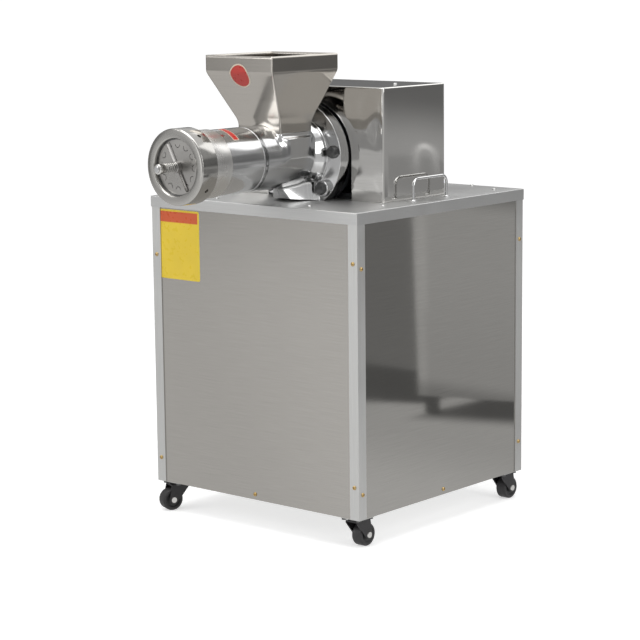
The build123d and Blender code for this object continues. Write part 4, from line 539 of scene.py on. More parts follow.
bore_angle = math.degrees(math.acos(HOLE_HALF_X / BORE_R))
bore_angles = np.concatenate(
    [np.arange(-180 - bore_angle + 3, bore_angle - 1, 4.0), np.linspace(bore_angle, 180 - bore_angle, 40)])
bore_places = np.array([SEAT_Y, -250.0, THROAT_Y - HOLE_HALF_Y, THROAT_Y, THROAT_Y + HOLE_HALF_Y, FLANGE_Y])
bore_grid = round_axis(bore_places, BORE_R + 0 * bore_places, bore_angles)
side = np.linspace(-1, 1, 30)[:, None]
loop = np.concatenate([
    np.concatenate([side, -1 + 0 * side], 1), np.concatenate([1 + 0 * side, side], 1),
    np.concatenate([-side, 1 + 0 * side], 1), np.concatenate([-1 + 0 * side, -side], 1),
]) * (HOLE_HALF_X, HOLE_HALF_Y)
top = np.maximum(np.sqrt(np.maximum(BARREL_R**2 - loop[:, 0] ** 2, 0)), NECK_TOP)
low_end = np.sqrt(BORE_R**2 - loop[:, 0] ** 2)
levels = np.stack([top, low_end], 1)
hole_grid = np.concatenate(
    [np.broadcast_to(loop[:, None] + (AXIS_X, THROAT_Y), (len(loop), 2, 2)), AXIS_Z + levels[..., None]], -1)

# %% Pedestal
FOOT_D, FOOT_RISE, FOOT_FILLET = 79.0, 36.0, 7.0


def foot_outline(climb):
    """Plan of the pedestal at its floor (climb 0) or its crest (1): half width falls from 58 at the flange to
    17 or 9 at the front as the distance to the power 1.15, and the front corners are quadratic curves."""
    depth = FOOT_D - 15.0 * (1 - climb)

    def half(away):
        left_over = (1 - np.minimum(away / FOOT_D, 1)) ** 1.15
        return left_over * 58.0 + (1 - left_over) * (17.0 - 8.0 * climb)

    cut = 5.0
    away = np.linspace(0, depth - cut, 34)
    side = np.stack([half(away), -away], 1)
    tip = np.array([half(depth), -depth])
    t = np.linspace(0, 1, 10)[1:-1, None]
    bend = side[-1] * (1 - t) ** 2 + 2 * t * (1 - t) * tip + (tip - (cut, 0)) * t**2
    front = np.linspace(1, 0, 5)[:, None] * (tip[0] - cut, 0) + (0, -depth)
    right = np.concatenate([side, bend, front])
    return np.concatenate([right, (right * (-1, 1))[-2::-1]])


floor_plan, crest_plan = foot_outline(0.0), foot_outline(1.0)
floor_z = TABLE_Z - AXIS_Z + 8.0 * np.minimum(-floor_plan[:, 1] / FOOT_D, 1)
wall_low = np.column_stack([floor_plan[:, 0], floor_plan[:, 1] + FLANGE_Y, floor_z])
wall_high = np.column_stack(
    [crest_plan[:, 0], crest_plan[:, 1] + FLANGE_Y, 0 * floor_z + TABLE_Z - AXIS_Z + FOOT_RISE])
wall_run = wall_high - wall_low


def off_tube(points):
    """Distance of points from the round body's skin."""
    return np.hypot(points[:, 0], points[:, 2]) - body_radius(points[:, 1])


near, far = np.zeros(len(wall_low)), np.full(len(wall_low), 1.8)
for _ in range(24):
    half_way = (near + far) / 2
    outside = off_tube(wall_low + wall_run * half_way[:, None]) > 0
    near, far = np.where(outside, half_way, near), np.where(outside, far, half_way)
joint = wall_low + wall_run * near[:, None]
start = joint - FOOT_FILLET * wall_run / np.linalg.norm(wall_run, axis=1)[:, None]
tangent = np.gradient(crest_plan, axis=0)
outward = np.column_stack([-tangent[:, 1], tangent[:, 0], 0 * tangent[:, 0]])
outward *= np.sign((outward[:, :2] * (crest_plan - (0, -20))).sum(1))[:, None]
spoke = joint * (1, 0, 1) / np.hypot(joint[:, 0], joint[:, 2])[:, None]
outward -= (outward * spoke).sum(1)[:, None] * spoke
outward /= np.linalg.norm(outward, axis=1)[:, None]
finish_line = joint + FOOT_FILLET * outward
from_axis = np.hypot(finish_line[:, 0], finish_line[:, 2])[:, None]
finish_line -= (off_tube(finish_line) + 0.03)[:, None] * finish_line * (1, 0, 1) / from_axis
t = np.linspace(0, 1, 13)[:, None, None]
fillet_rows = start * (1 - t) ** 2 + 2 * t * (1 - t) * joint + finish_line * t**2
wall_rows = wall_low + np.linspace(0, 1, 10)[:, None, None] * (start - wall_low)
keel, crest = wall_low * (0, 1, 1), finish_line * (0, 1, 0) + (0, 0, -60.0)
foot_grid = np.concatenate([keel[None], wall_rows, fillet_rows[1:], crest[None]]).transpose(1, 0, 2)
inside_flange = foot_grid[[0, -1]] * (1, 0, 1) + (0, FLANGE_Y + 8.0, 0)
foot_grid = np.concatenate([inside_flange[:1], foot_grid, inside_flange[1:]]) + (AXIS_X, 0, AXIS_Z)
print("pedestal grid", foot_grid.shape)

# %% Flange and ears
turn = np.radians(np.concatenate([np.arange(-54.0, 234.1, 2.0), np.linspace(-126, -54, 12)[1:-1]]))
flat_cut = np.where(np.sin(turn) < 0, (FLANGE_Z - TABLE_Z) / np.maximum(-np.sin(turn), 1e-6), 1e6)
reach = np.minimum(117.5, flat_cut)
edge = rounded([(MOUTH_Y, 60.0), (MOUTH_Y, 0.0), (FLANGE_Y, 0.0), (FLANGE_Y, 60.0)], 1.2, 4)
flange_r = reach[:, None] - edge[:, 1]
flange_grid = np.stack([
    AXIS_X + np.cos(turn)[:, None] * flange_r, edge[:, 0] + 0 * flange_r,
    FLANGE_Z + np.sin(turn)[:, None] * flange_r], -1)
EAR_ANGLES, BOLT_CIRCLE_R = (-43.5, 223.5), 99.0
ear_line = rounded([(FLANGE_Y + 1, 18.0), (FLANGE_Y - 12, 18.0), (FLANGE_Y - 12, 0.0)], 1.6, 4)
ears = [
    turned(ear_line, (AXIS_X + BOLT_CIRCLE_R * math.cos(a), FLANGE_Z + BOLT_CIRCLE_R * math.sin(a)), 64)
    for a in np.radians(EAR_ANGLES)
]
piece("barrel_casting", [
    shell(outer_grid, skip=feed_hole(angles, tube_y, hole_angle)),
    shell(bore_grid, skip=feed_hole(bore_angles, bore_places, bore_angle), inward=True),
    shell(hole_grid, inward=True),
    shell(flange_grid, close_columns=True),
    shell(foot_grid, close_rows=False, close_columns=True),
    *ears,
], barrel_steel.material, "machine", ["barrel"], sharp=38)
collar_line = rounded([(COLLAR_FROM, 69.0), (COLLAR_FROM, 72.0), (COLLAR_TO, 72.0), (COLLAR_TO, 69.0)],
    0.8, 3)
piece("barrel_collar", [turned(collar_line, (AXIS_X, AXIS_Z), 180)], collar_steel.material, "machine",
    ["barrel"])

# %% [markdown]
# ## Hopper
# A welded funnel of 1.5 mm sheet: a square neck saddled over the barrel, a soft bend where it opens, flat
# flaring sides, and an upright band at the rim. It could be lofted, but a table of heights and flares with
# rounded turns gives the same sheet as one smooth grid, and solidify gives it its thickness.

# %% Hopper sheet
HOPPER_FOOT, HOPPER_RIM = AXIS_Z + 54.0, span("hopper")[1][2]
NECK_TURN, BAND_TURN = TABLE_Z + 176.0, HOPPER_RIM - 36.0
NECK_HALF_X, NECK_HALF_Y = 61.0, 51.0
RIM_HALF_X, RIM_HALF_Y, RIM_Y = 95.5, 106.5, FLANGE_Y - 85.5
climb_line = rounded([(HOPPER_FOOT, 0.0), (NECK_TURN, 0.0), (BAND_TURN, 1.0), (HOPPER_RIM, 1.0)],
    (0, 26, 5, 0), 10)
rows_z = np.concatenate([
    np.linspace(HOPPER_FOOT, NECK_TURN + 24, 26), np.linspace(NECK_TURN + 24, BAND_TURN - 6, 12)[1:],
    np.linspace(BAND_TURN - 6, BAND_TURN + 6, 9)[1:], np.linspace(BAND_TURN + 6, HOPPER_RIM, 6)[1:],
])


def square_outline(per_side, per_corner):
    """A unit square with round corners, as a straight part and a unit corner: point = straight * (half -
    r) + corner * r."""
    turn = np.linspace(0, 0.5 * np.pi, per_corner)
    straight, corner = [], []
    for quadrant, (sx, sy) in enumerate([(1, 1), (-1, 1), (-1, -1), (1, -1)]):
        a = turn + quadrant * 0.5 * np.pi
        straight.append(np.tile((sx, sy), (per_corner, 1)))
        corner.append(np.stack([np.cos(a), np.sin(a)], 1))
        nx, ny = [(-1, 1), (-1, -1), (1, -1), (1, 1)][quadrant]
        t = np.linspace(0, 1, per_side + 2)[1:-1, None]
        t = 0.5 - 0.5 * np.cos(np.pi * t) * (1 - 0.1 * np.sin(np.pi * t))
        straight.append((1 - t) * (sx, sy) + t * (nx, ny))
        corner.append(np.tile((math.cos(a[-1]), math.sin(a[-1])), (per_side, 1)))
    return np.concatenate(straight), np.concatenate(corner)


straight, corner = square_outline(22, 7)
sheet_half = 0.75
inset = sheet_half
rough_x = straight[:, 0] * NECK_HALF_X
saddle = AXIS_Z + np.sqrt(np.maximum(BARREL_R**2 - rough_x**2, 0)) + 0.25
lift = np.maximum(saddle, HOPPER_FOOT)
HOLD = NECK_TURN + 24
above = (rows_z - HOPPER_FOOT) / (HOLD - HOPPER_FOOT)
z = np.where(rows_z < HOLD, lift[:, None] + (HOLD - lift[:, None]) * above, rows_z)
climb = np.interp(z, climb_line[:, 0], climb_line[:, 1])


def grown(neck, rim):
    return neck + climb * (rim - neck)


radius = np.interp(z, [HOPPER_FOOT, NECK_TURN - 10, NECK_TURN + 30], [4.0, 3.0, 2.0]) - inset
half_x = grown(NECK_HALF_X, RIM_HALF_X) - inset
half_y = grown(NECK_HALF_Y, RIM_HALF_Y) - inset
middle_y = grown(THROAT_Y, RIM_Y)
hopper_grid = np.stack([
    AXIS_X + straight[:, :1] * (half_x - radius) + corner[:, :1] * radius,
    middle_y + straight[:, 1:] * (half_y - radius) + corner[:, 1:] * radius,
    z,
], -1)
hopper_piece = piece("hopper_sheet", [shell(hopper_grid)], hopper_sheet.material, "machine", ["hopper"],
    sharp=50)


def thicken(thing, thickness):
    """Sheet thickness, half to each side of the surface."""
    wall = thing.modifiers.new("sheet", "SOLIDIFY")
    wall.thickness = thickness * MM
    wall.offset = 0.0
    wall.use_even_offset = True


thicken(hopper_piece, 1.48)

# %% [markdown]
# ## Stick-on labels
# The machine carries three printed foils: a round one on the hopper, a strip on the barrel and a card on the
# front panel. They are kept as plain coloured foils with nothing on them. A foil has to lie on its surface,
# so its points are put there by the surface's own formula, a tenth of a millimetre proud.

# %% Foils
def foil(name, colour):
    """Printed plastic foil: an even colour with faint fading, small creases, and a satin face."""
    finish = Finish(name, colour, 0.0, 0.30)
    finish.rough(finish.noise(90.0, detail=3.0), 0.24, 0.39)
    finish.tint(finish.noise(14.0, detail=2.0), grey(0.95), grey(1.03))
    finish.relief(finish.noise(180.0, detail=2.0), 0.006)
    return finish


red_foil = foil("red_foil", (0.50, 0.035, 0.025))
cream_foil = foil("cream_foil", (0.66, 0.56, 0.44))
yellow_foil = foil("yellow_foil", (0.80, 0.58, 0.03))
orange_foil = foil("orange_foil", (0.62, 0.10, 0.025))


def foil_ring(inner, outer, on_surface, rim_rows, lift=0.1):
    """A disc or a ring: polar points between two radii, each put on the surface, with an edge that turns
    down."""
    turn = np.linspace(0, 2 * np.pi, 96, endpoint=False)[:, None]
    r = np.concatenate([[outer], np.linspace(outer, inner, rim_rows)])
    up = np.concatenate([[0.0], np.full(rim_rows, lift)])
    return shell(on_surface(np.cos(turn) * r, np.sin(turn) * r, up + 0 * turn))


slope_z = np.linspace(HOPPER_FOOT + 60, HOPPER_RIM, 400)
slope_y = np.interp(slope_z, climb_line[:, 0], climb_line[:, 1])
slope_y = (THROAT_Y + slope_y * (RIM_Y - THROAT_Y)) - (NECK_HALF_Y + slope_y * (RIM_HALF_Y - NECK_HALF_Y))
slope_run = np.concatenate([[0], np.cumsum(np.hypot(np.diff(slope_z), np.diff(slope_y)))])
slope_lean = np.gradient(slope_run, slope_z)
DISC_X, DISC_Z = AXIS_X - 0.5, 998.6


def on_hopper(across, up, lift):
    """Point on the hopper's front: measured across, and up along the bent sheet by its run of length."""
    run = np.interp(DISC_Z, slope_z, slope_run) + up
    z, y, lean = (np.interp(run, slope_run, line) for line in (slope_z, slope_y, slope_lean))
    return np.stack([DISC_X + across, y + sheet_half - (sheet_half + lift) * lean, z], -1)


piece("hopper_label", [foil_ring(0.0, 24.6, on_hopper, 16)], red_foil.material, "machine")
piece("hopper_label_rim", [foil_ring(24.6, 27.4, on_hopper, 4, 0.12)], cream_foil.material, "machine")


def patch(half_u, half_v, corner):
    """A flat patch with round corners over (u, v): an outline spaced evenly by its run, shrunk in steps to
    its middle."""
    outline = rounded([(-1, -1), (1, -1), (1, 1), (-1, 1)] * np.array([half_u, half_v]), corner, 6,
        closed=True)
    loop = np.concatenate([outline, outline[:1]])
    run = np.concatenate([[0], np.cumsum(np.hypot(*np.diff(loop, axis=0).T))])
    even = np.linspace(0, run[-1], 161)[:-1]
    outline = np.column_stack([np.interp(even, run, loop[:, 0]), np.interp(even, run, loop[:, 1])])
    shrink = np.concatenate([[1.0], np.linspace(1, 0, 26)])[None, :, None]
    return outline[:, None] * shrink


def on_barrel(uv, lift):
    """Point on the tube: u runs round it from the label's middle angle, v runs along it."""
    turn = np.radians(66.0) + uv[..., 0] / BARREL_R
    r = BARREL_R + lift
    return np.stack([AXIS_X + np.cos(turn) * r, -266.5 + uv[..., 1], AXIS_Z + np.sin(turn) * r], -1)


def edge_lift(grid, lift):
    return np.concatenate([[0.0], np.full(grid.shape[1] - 1, lift)])


strip, strip_rim = patch(25.0, 7.0, 2.0), patch(26.6, 8.6, 3.0)
piece("barrel_label_rim", [shell(on_barrel(strip_rim, edge_lift(strip_rim, 0.08)))], cream_foil.material,
    "machine")
piece("barrel_label", [shell(on_barrel(strip, edge_lift(strip, 0.14)))], red_foil.material, "machine")

CARD_LOW, CARD_HIGH = np.array([-279.0, TABLE_Z - 184.0]), np.array([-155.0, TABLE_Z - 28.0])
PANEL_Y = span("front_panel")[0][1]


def on_panel(uv, centre, lift):
    return np.stack([centre[0] + uv[..., 0], PANEL_Y - lift + 0 * uv[..., 0], centre[1] + uv[..., 1]], -1)


card_middle, card_half = (CARD_LOW + CARD_HIGH) / 2, (CARD_HIGH - CARD_LOW) / 2
card = patch(*card_half, 4.0)
piece("panel_card", [shell(on_panel(card, card_middle, edge_lift(card, 0.10)))], yellow_foil.material,
    "machine")
band_middle = np.array([card_middle[0], CARD_HIGH[1] - 16.5])
band_patch = patch(card_half[0] - 5.0, 12.0, 1.2)
piece("panel_card_band", [shell(on_panel(band_patch, band_middle, edge_lift(band_patch, 0.14)))],
    orange_foil.material, "machine")

# %% [markdown]
# ## Gear cover
# One folded sheet with an arch cut out for the flange. The grid runs from the arch to the front's outline,
# turns the bend, and goes back along the top and the sides, so that the bends are round and unbroken.

# %% Gear cover sheet
cover_low, cover_high = span("gear_cover")
BEND, REAR_BEND = 2.6, 0.9
arch_turn = np.linspace(0, np.pi, 73)
leg = np.linspace(TABLE_Z + 0.1, FLANGE_Z, 16)[:-1]
ARCH_R = 120.5
arch = np.concatenate([
    np.stack([AXIS_X + ARCH_R + 0 * leg, leg], 1),
    np.stack([AXIS_X + ARCH_R * np.cos(arch_turn), FLANGE_Z + ARCH_R * np.sin(arch_turn)], 1),
    np.stack([AXIS_X - ARCH_R + 0 * leg, leg[::-1]], 1),
])
left, right = cover_low[0] + sheet_half, cover_high[0] - sheet_half
top_z = cover_high[2] - sheet_half
front_y, rear_y = cover_low[1] + sheet_half, cover_high[1] - sheet_half


def folded_line(inset):
    """The cover seen from the front, one point for each point of the arch: up the right side, over the
    top, down the left."""
    r = BEND - inset + 0.01
    half = (right - left) / 2 - inset
    middle = (left + right) / 2
    path = [np.stack([middle + half + 0 * leg, leg], 1)]
    up = np.linspace(FLANGE_Z, top_z - inset - r, 14)
    path.append(np.stack([middle + half + 0 * up, up], 1)[:-1])
    a = np.linspace(0, np.pi / 2, 6)
    path.append(np.stack([middle + half - r + r * np.cos(a), top_z - inset - r + r * np.sin(a)], 1))
    across = np.linspace(half - r, -half + r, len(arch) - 2 * (len(leg) + 13 + 6) + 2)[1:-1]
    path.append(np.stack([middle + across, top_z - inset + 0 * across], 1))
    mirrored = np.concatenate(path[:3])[::-1].copy()
    mirrored[:, 0] = 2 * middle - mirrored[:, 0]
    return np.concatenate([*path, mirrored])


turn = np.linspace(0, np.pi / 2, 7)
outer = folded_line(BEND)
reach = np.linspace(0, 1, 48)[:, None, None]
front_rows = arch * (1 - reach) + outer * reach
front_rows = np.concatenate([front_rows, np.full((*front_rows.shape[:2], 1), front_y)], -1)
edge_fade = np.sin(np.pi * np.clip(reach[:, :, 0], 0, 1)) ** 0.7


def buckle(x, z):
    """How far the thin front has sprung back, in mm: one steep fold line that curves down the right side,
    a dish beside it, and slow waves all over."""
    fold = x - 158.0 - 15.0 * ((z - 890.0) / 70.0) ** 2
    dish = np.exp(-(((x - 214.0) / 20.0) ** 2) - ((z - 872.0) / 24.0) ** 2)
    upper = 0.15 + 0.85 / (1 + np.exp((850.0 - z) / 12.0))
    waves = 0.9 * np.sin(x / 17.0 + 1.1 * np.sin(z / 26.0)) + 0.7 * np.sin(z / 17.0 + x / 40.0)
    return upper * (1.3 * np.tanh(fold / 10.0) + 2.0 * dish + waves)


front_rows[..., 2] += edge_fade * buckle(front_rows[..., 0], front_rows[..., 1])
bend_rows = np.stack([
    np.concatenate([line, np.full((len(line), 1), front_y + BEND * (1 - math.cos(t)))], 1)
    for t in turn[1:] for line in [folded_line(BEND * (1 - math.sin(t)))]
])
side_line = folded_line(0.0)
side_rows = np.stack([
    np.concatenate([side_line, np.full((len(side_line), 1), y)], 1)
    for y in np.linspace(front_y + BEND, rear_y - REAR_BEND, 14)[1:]
])
rear_rows = np.stack([
    np.concatenate([line, np.full((len(line), 1), rear_y - REAR_BEND * (1 - math.sin(t)))], 1)
    for t in turn[1:] for line in [folded_line(REAR_BEND * (1 - math.cos(t)))]
])
rear_middle = np.array([(left + right) / 2, TABLE_Z + 0.1])
shrink = np.linspace(1, 0, 8)[1:, None, None]
closing = rear_middle + (folded_line(REAR_BEND) - rear_middle) * shrink
closing = np.concatenate([closing, np.full((*closing.shape[:2], 1), rear_y)], -1)
cover_grid = np.concatenate([front_rows, bend_rows, side_rows, rear_rows, closing])[:, :, [0, 2, 1]]
cover_piece = piece("cover_sheet", [shell(cover_grid, close_rows=False)], cover_sheet.material, "machine",
    ["gear_cover"], sharp=50)
thicken(cover_piece, 1.48)

# %% [markdown]
# ## Ring nut, die and cutter
# The ring, the cutter's hub and its nut come off a lathe, so each is a profile turned about the barrel's
# axis, with its edges broken. The spanner holes go into the ring: they are cut with four round bars.

# %% Ring nut
def cut_out(thing, name, shells):
    """Takes shapes out of a piece with a boolean and keeps the result as its mesh."""
    tool = piece(name, shells, thing.data.materials[0], "machine")
    cut = thing.modifiers.new("cut", "BOOLEAN")
    cut.object = tool
    cut.solver = "EXACT"
    result = bpy.data.meshes.new_from_object(thing.evaluated_get(bpy.context.evaluated_depsgraph_get()))
    thing.modifiers.clear()
    old = thing.data
    thing.data = result
    bpy.data.meshes.remove(old)
    tool_mesh = tool.data
    bpy.data.objects.remove(tool)
    bpy.data.meshes.remove(tool_mesh)
    thing.data.set_sharp_from_angle(angle=math.radians(35))


ring_front, ring_back = ring_low[1], ring_high[1]
ring_line = rounded([
    (ring_front, 61.5), (ring_front, 77.6), (ring_front + 2.4, 80.0), (ring_back - 1.0, 80.0),
    (ring_back, 79.0), (ring_back, 70.3), (ring_front + 10, 70.3), (ring_front + 10, 59.5),
    (ring_front + 2, 59.5),
], 0.5, 3, closed=True)
ring_piece = piece("ring_nut_turned", [turned(ring_line, (AXIS_X, AXIS_Z), 192, close_profile=True)],
                   ring_steel.material, "ring_nut", ["ring_nut"], sharp=30)
# Painted shadow: a thin dark ring laid on the die's face against the ring's inner wall, standing in for the
# shade in the narrow gap between ring and die.
painted_shadow_line = [(ring_front + 9.6, 57.0), (ring_front + 9.6, 60.6), (ring_front + 9.9, 60.6),
    (ring_front + 9.9, 57.0)]
bars = []
for hole in range(4):
    a = math.radians(54 + 90 * hole)
    spoke = (math.cos(a), 0.0, math.sin(a))
    bar = turned([(-7.0, 0.0), (-7.0, 4.5), (4.0, 4.5), (4.0, 0.0)], (0, 0), 40)
    centre = np.array([AXIS_X, ring_front + 25.8, AXIS_Z]) + 80.0 * np.array(spoke)
    bars.append(placed(bar, (-spoke[2], 0, spoke[0]), spoke, (0, 1, 0), centre))
cut_out(ring_piece, "spanner_holes", bars)
piece("die_gap_painted_shadow", [turned(painted_shadow_line, (AXIS_X, AXIS_Z), 128, close_profile=True)], dark_bolt.material, "machine")

# %% [markdown]
# The die is a flat disc with a ring of curved slots, through which the dough leaves as small shells. A
# flat curve with one outline for the disc and one for each opening fills itself, so it gives a plate
# with clean walls inside every slot, where a grid would need thousands of faces to follow them.

# %% Die
die_low, die_high = span("die_plate")
SLOTS, SLOT_RING, SLOT_R, SLOT_HALF = 12, 47.0, 6.5, 0.6


def closed_outline(flat_curve, points):
    """Adds one closed outline of straight spans to a flat curve."""
    spline = flat_curve.splines.new("POLY")
    spline.points.add(len(points) - 1)
    spline.points.foreach_set("co",
        np.column_stack([points, np.zeros(len(points)), np.ones(len(points))]).ravel())
    spline.use_cyclic_u = True


def circle(radius, count):
    """Points on a circle about the origin, by cosine and sine."""
    turn = np.linspace(0, 2 * np.pi, count, endpoint=False)
    return radius * np.column_stack([np.cos(turn), np.sin(turn)])


def slot_outline(middle):
    """An arc made SLOT_HALF wide each way: out along its outer side, round the end, and back along the
    inner one."""
    bend = np.radians(np.linspace(95, 265, 25))
    end = np.linspace(0, np.pi, 8)[1:-1]
    outer = (SLOT_R + SLOT_HALF) * np.column_stack([np.cos(bend), np.sin(bend)])
    inner = (SLOT_R - SLOT_HALF) * np.column_stack([np.cos(bend), np.sin(bend)])[::-1]
    caps = []
    for tip, start in ((bend[-1], bend[-1]), (bend[0], bend[0] + np.pi)):
        centre = SLOT_R * np.array([math.cos(tip), math.sin(tip)])
        caps.append(centre + SLOT_HALF * np.column_stack([np.cos(start + end), np.sin(start + end)]))
    line = np.concatenate([outer, caps[0], inner, caps[1]]) + (SLOT_RING, 0)
    turn = np.array([[math.cos(middle), math.sin(middle)], [-math.sin(middle), math.cos(middle)]])
    return line @ turn


flat = bpy.data.curves.new("die_outline", "CURVE")
flat.dimensions = "2D"
flat.fill_mode = "BOTH"
flat.extrude = (die_high[1] - die_low[1]) / 2
closed_outline(flat, circle(69.5, 160))
closed_outline(flat, circle(6.6, 48))
for slot in range(SLOTS):
    closed_outline(flat, slot_outline(2 * math.pi * slot / SLOTS))
maker = bpy.data.objects.new("die_outline", flat)
bpy.context.scene.collection.objects.link(maker)
sheet = bpy.data.meshes.new_from_object(maker.evaluated_get(bpy.context.evaluated_depsgraph_get()))
corners = np.empty(len(sheet.vertices) * 3)
sheet.vertices.foreach_get("co", corners)
corners = corners.reshape(-1, 3)
plate = np.column_stack([
    corners[:, 0] + AXIS_X, -corners[:, 2] + (die_high[1] + die_low[1]) / 2, corners[:, 1] + AXIS_Z])
piece("die_slotted", [(plate, [list(f.vertices) for f in sheet.polygons])], die_steel.material, "machine",
    ["die_plate"])
bpy.data.objects.remove(maker)
bpy.data.curves.remove(flat)
bpy.data.meshes.remove(sheet)

# %% [markdown]
# The cutter is two arms on a turned hub, pressed to the die by a spring of round wire. When the cutter
# lifts, the spring shortens by the same travel.

# %% Cutter: blade, spring and nut
BLADE_BACK = span("cutter_blade")[1][1]
hub_line = rounded([
    (BLADE_BACK, 6.6), (BLADE_BACK, 12.0), (BLADE_BACK - 10.6, 12.0), (BLADE_BACK - 12.0, 10.6),
    (BLADE_BACK - 12.0, 6.6),
], 0.4, 3, closed=True)
arm_turn = math.radians(118)
reach = np.linspace(-56, 56, 81)
half = np.minimum(4.0, np.sqrt(np.maximum(16 - np.maximum(np.abs(reach) - 52, 0) ** 2, 0)) + 0.01)
level = np.array([(-1.0, 0.0), (-1.0, -0.5), (-0.9, -0.8), (0.8, -3.0), (1.0, -2.8), (1.0, 0.0)])
arm = np.stack([
    np.broadcast_to(reach[None], (6, 81)), np.broadcast_to(level[:, 1:] + BLADE_BACK, (6, 81)),
    level[:, :1] * half * np.sign(reach + 0.01)], -1)
arm_out = np.array([math.cos(arm_turn), 0, math.sin(arm_turn)])
arm_side = np.array([-math.sin(arm_turn), 0, math.cos(arm_turn)])
arm_world = arm[..., :1] * arm_out + arm[..., 2:] * arm_side + (AXIS_X, 0, AXIS_Z) + arm[..., 1:2] * (0, 1, 0)
piece("cutter_arms", [shell(arm_world), turned(hub_line, (AXIS_X, AXIS_Z), 96, close_profile=True)],
      blade_steel.material, "cutter", ["cutter_blade"], sharp=25)


def coil(radius, wire, first_y, last_y, turns, flat_turns=0.8, sides=14):
    """Spring wire: a helix whose pitch eases to nothing over its end turns, with a circle carried square
    to it."""
    t = np.linspace(0, 1, int(turns * 48))
    ease = np.clip(np.minimum(t, 1 - t) * turns / flat_turns, 0, 1)
    step = 0.25 + 0.75 * ease
    y = np.concatenate([[0], np.cumsum((step[1:] + step[:-1]) / 2)])
    y = first_y + (last_y - first_y) * y / y[-1]
    a = 2 * np.pi * turns * t
    out = np.stack([np.cos(a), 0 * a, np.sin(a)], 1)
    path = out * radius + np.stack([0 * a, y, 0 * a], 1)
    tangent = np.gradient(path, axis=0)
    tangent /= np.linalg.norm(tangent, axis=1)[:, None]
    third = np.cross(tangent, out)
    s = np.linspace(0, 2 * np.pi, sides, endpoint=False)[:, None, None]
    return shell(path + (AXIS_X, 0, AXIS_Z) + wire * (np.cos(s) * out + np.sin(s) * third), caps=True)


spring_low, spring_high = span("cutter_spring")
spring = piece("spring_wire", [coil(9.6, 1.3, spring_low[1] + 1.35, spring_high[1] - 1.35, 5.5)],
               spring_steel.material, "feed_screw", ["cutter_spring"])
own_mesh(spring)
nut_low, nut_high = span("cutter_nut")
nut_line = rounded([
    (nut_high[1], 6.6), (nut_high[1], 9.5), (nut_high[1] - 1.0, 10.5), (nut_low[1] + 1.4, 10.5),
    (nut_low[1], 9.1), (nut_low[1], 6.6),
], 0.3, 3, closed=True)
piece("cutter_nut_turned", [turned(nut_line, (AXIS_X, AXIS_Z), 96, close_profile=True)],
    bright_steel.material,
      "feed_screw", ["cutter_nut"])

# %% [markdown]
# ## Bolts and screws
# A bolt's head is a hexagon whose corners were turned off at the top: at each angle the radius is the
# smaller of the hexagon's and the turning cone's. Pan heads are domes with a cross driven into them.

# %% Flange bolts
def hex_head(across, height, rim=1.6):
    """Hexagon head standing on y = 0 towards -Y: rows of radii, each the smaller of the hexagon and the
    chamfer cone."""
    turn = np.radians(np.arange(0, 360, 3.0))
    hexagon = across / 2 / np.cos((turn + np.pi / 6) % (np.pi / 3) - np.pi / 6)
    circle = across / 2 * 0.97
    heights = np.array([-1.0, 0.0, height - rim, height - rim * 0.6, height - rim * 0.25, height, height,
        height])
    cones = np.array([99, 99, 99, circle + rim * 1.05, circle + rim * 0.42, circle, circle - 0.5, 0.0])
    radii = np.minimum(hexagon[:, None], cones)
    return shell(np.stack([np.cos(turn)[:, None] * radii, -heights + 0 * radii,
        np.sin(turn)[:, None] * radii], -1))


heads = []
for face, height, spots in ((FLANGE_Y, 10.0, (7, 90, 173)), (FLANGE_Y - 12, 7.0, EAR_ANGLES)):
    for i, spot in enumerate(spots):
        a = math.radians(spot)
        place = (AXIS_X + BOLT_CIRCLE_R * math.cos(a), face, FLANGE_Z + BOLT_CIRCLE_R * math.sin(a))
        spin = math.radians(11 + 37 * i)
        across, upright = (math.cos(spin), 0, math.sin(spin)), (-math.sin(spin), 0, math.cos(spin))
        heads.append(placed(hex_head(24.0, height), across, (0, 1, 0), upright, place))
piece("flange_bolt_heads", heads, dark_bolt.material, "machine", ["barrel_bolts"], sharp=28)


# %% Pan-head screws
def pan_head(radius=4.6, height=2.8):
    """Dome on a polar grid, up along Z; inside two crossed slots its height is lowered, which makes the
    cross recess."""
    turn = np.radians(np.arange(0, 360, 7.5))[:, None]
    r = np.array([1.0, 0.99, 0.95, 0.88, 0.78, 0.66, 0.54, 0.46, 0.38, 0.3, 0.2, 0.1, 0.0]) * radius
    dome = height * np.array([0.0, 0.22, 0.45, 0.64, 0.8, 0.9, 0.95, 0.97, 0.98, 0.99, 1.0, 1.0, 1.0])
    x, y = np.cos(turn) * r, np.sin(turn) * r
    slot = np.minimum(np.abs(x), np.abs(y)) < 0.09 * radius
    cross = slot & (np.maximum(np.abs(x), np.abs(y)) < 0.5 * radius)
    return shell(np.stack([x, y, dome - np.where(cross, 0.45 * height, 0.0)], -1))


def heads_on(spots, towards, spin):
    """Pan heads at the given spots, all looking the same way."""
    towards = np.array(towards, float)
    side = np.array([0.0, 0, 1]) if abs(towards[2]) < 0.5 else np.array([1.0, 0, 0])
    shells = []
    for i, spot in enumerate(spots):
        a = spin + 0.7 * i
        x_dir = side * math.cos(a) + np.cross(towards, side) * math.sin(a)
        shells.append(placed(pan_head(), x_dir, np.cross(towards, x_dir), towards, spot))
    return shells


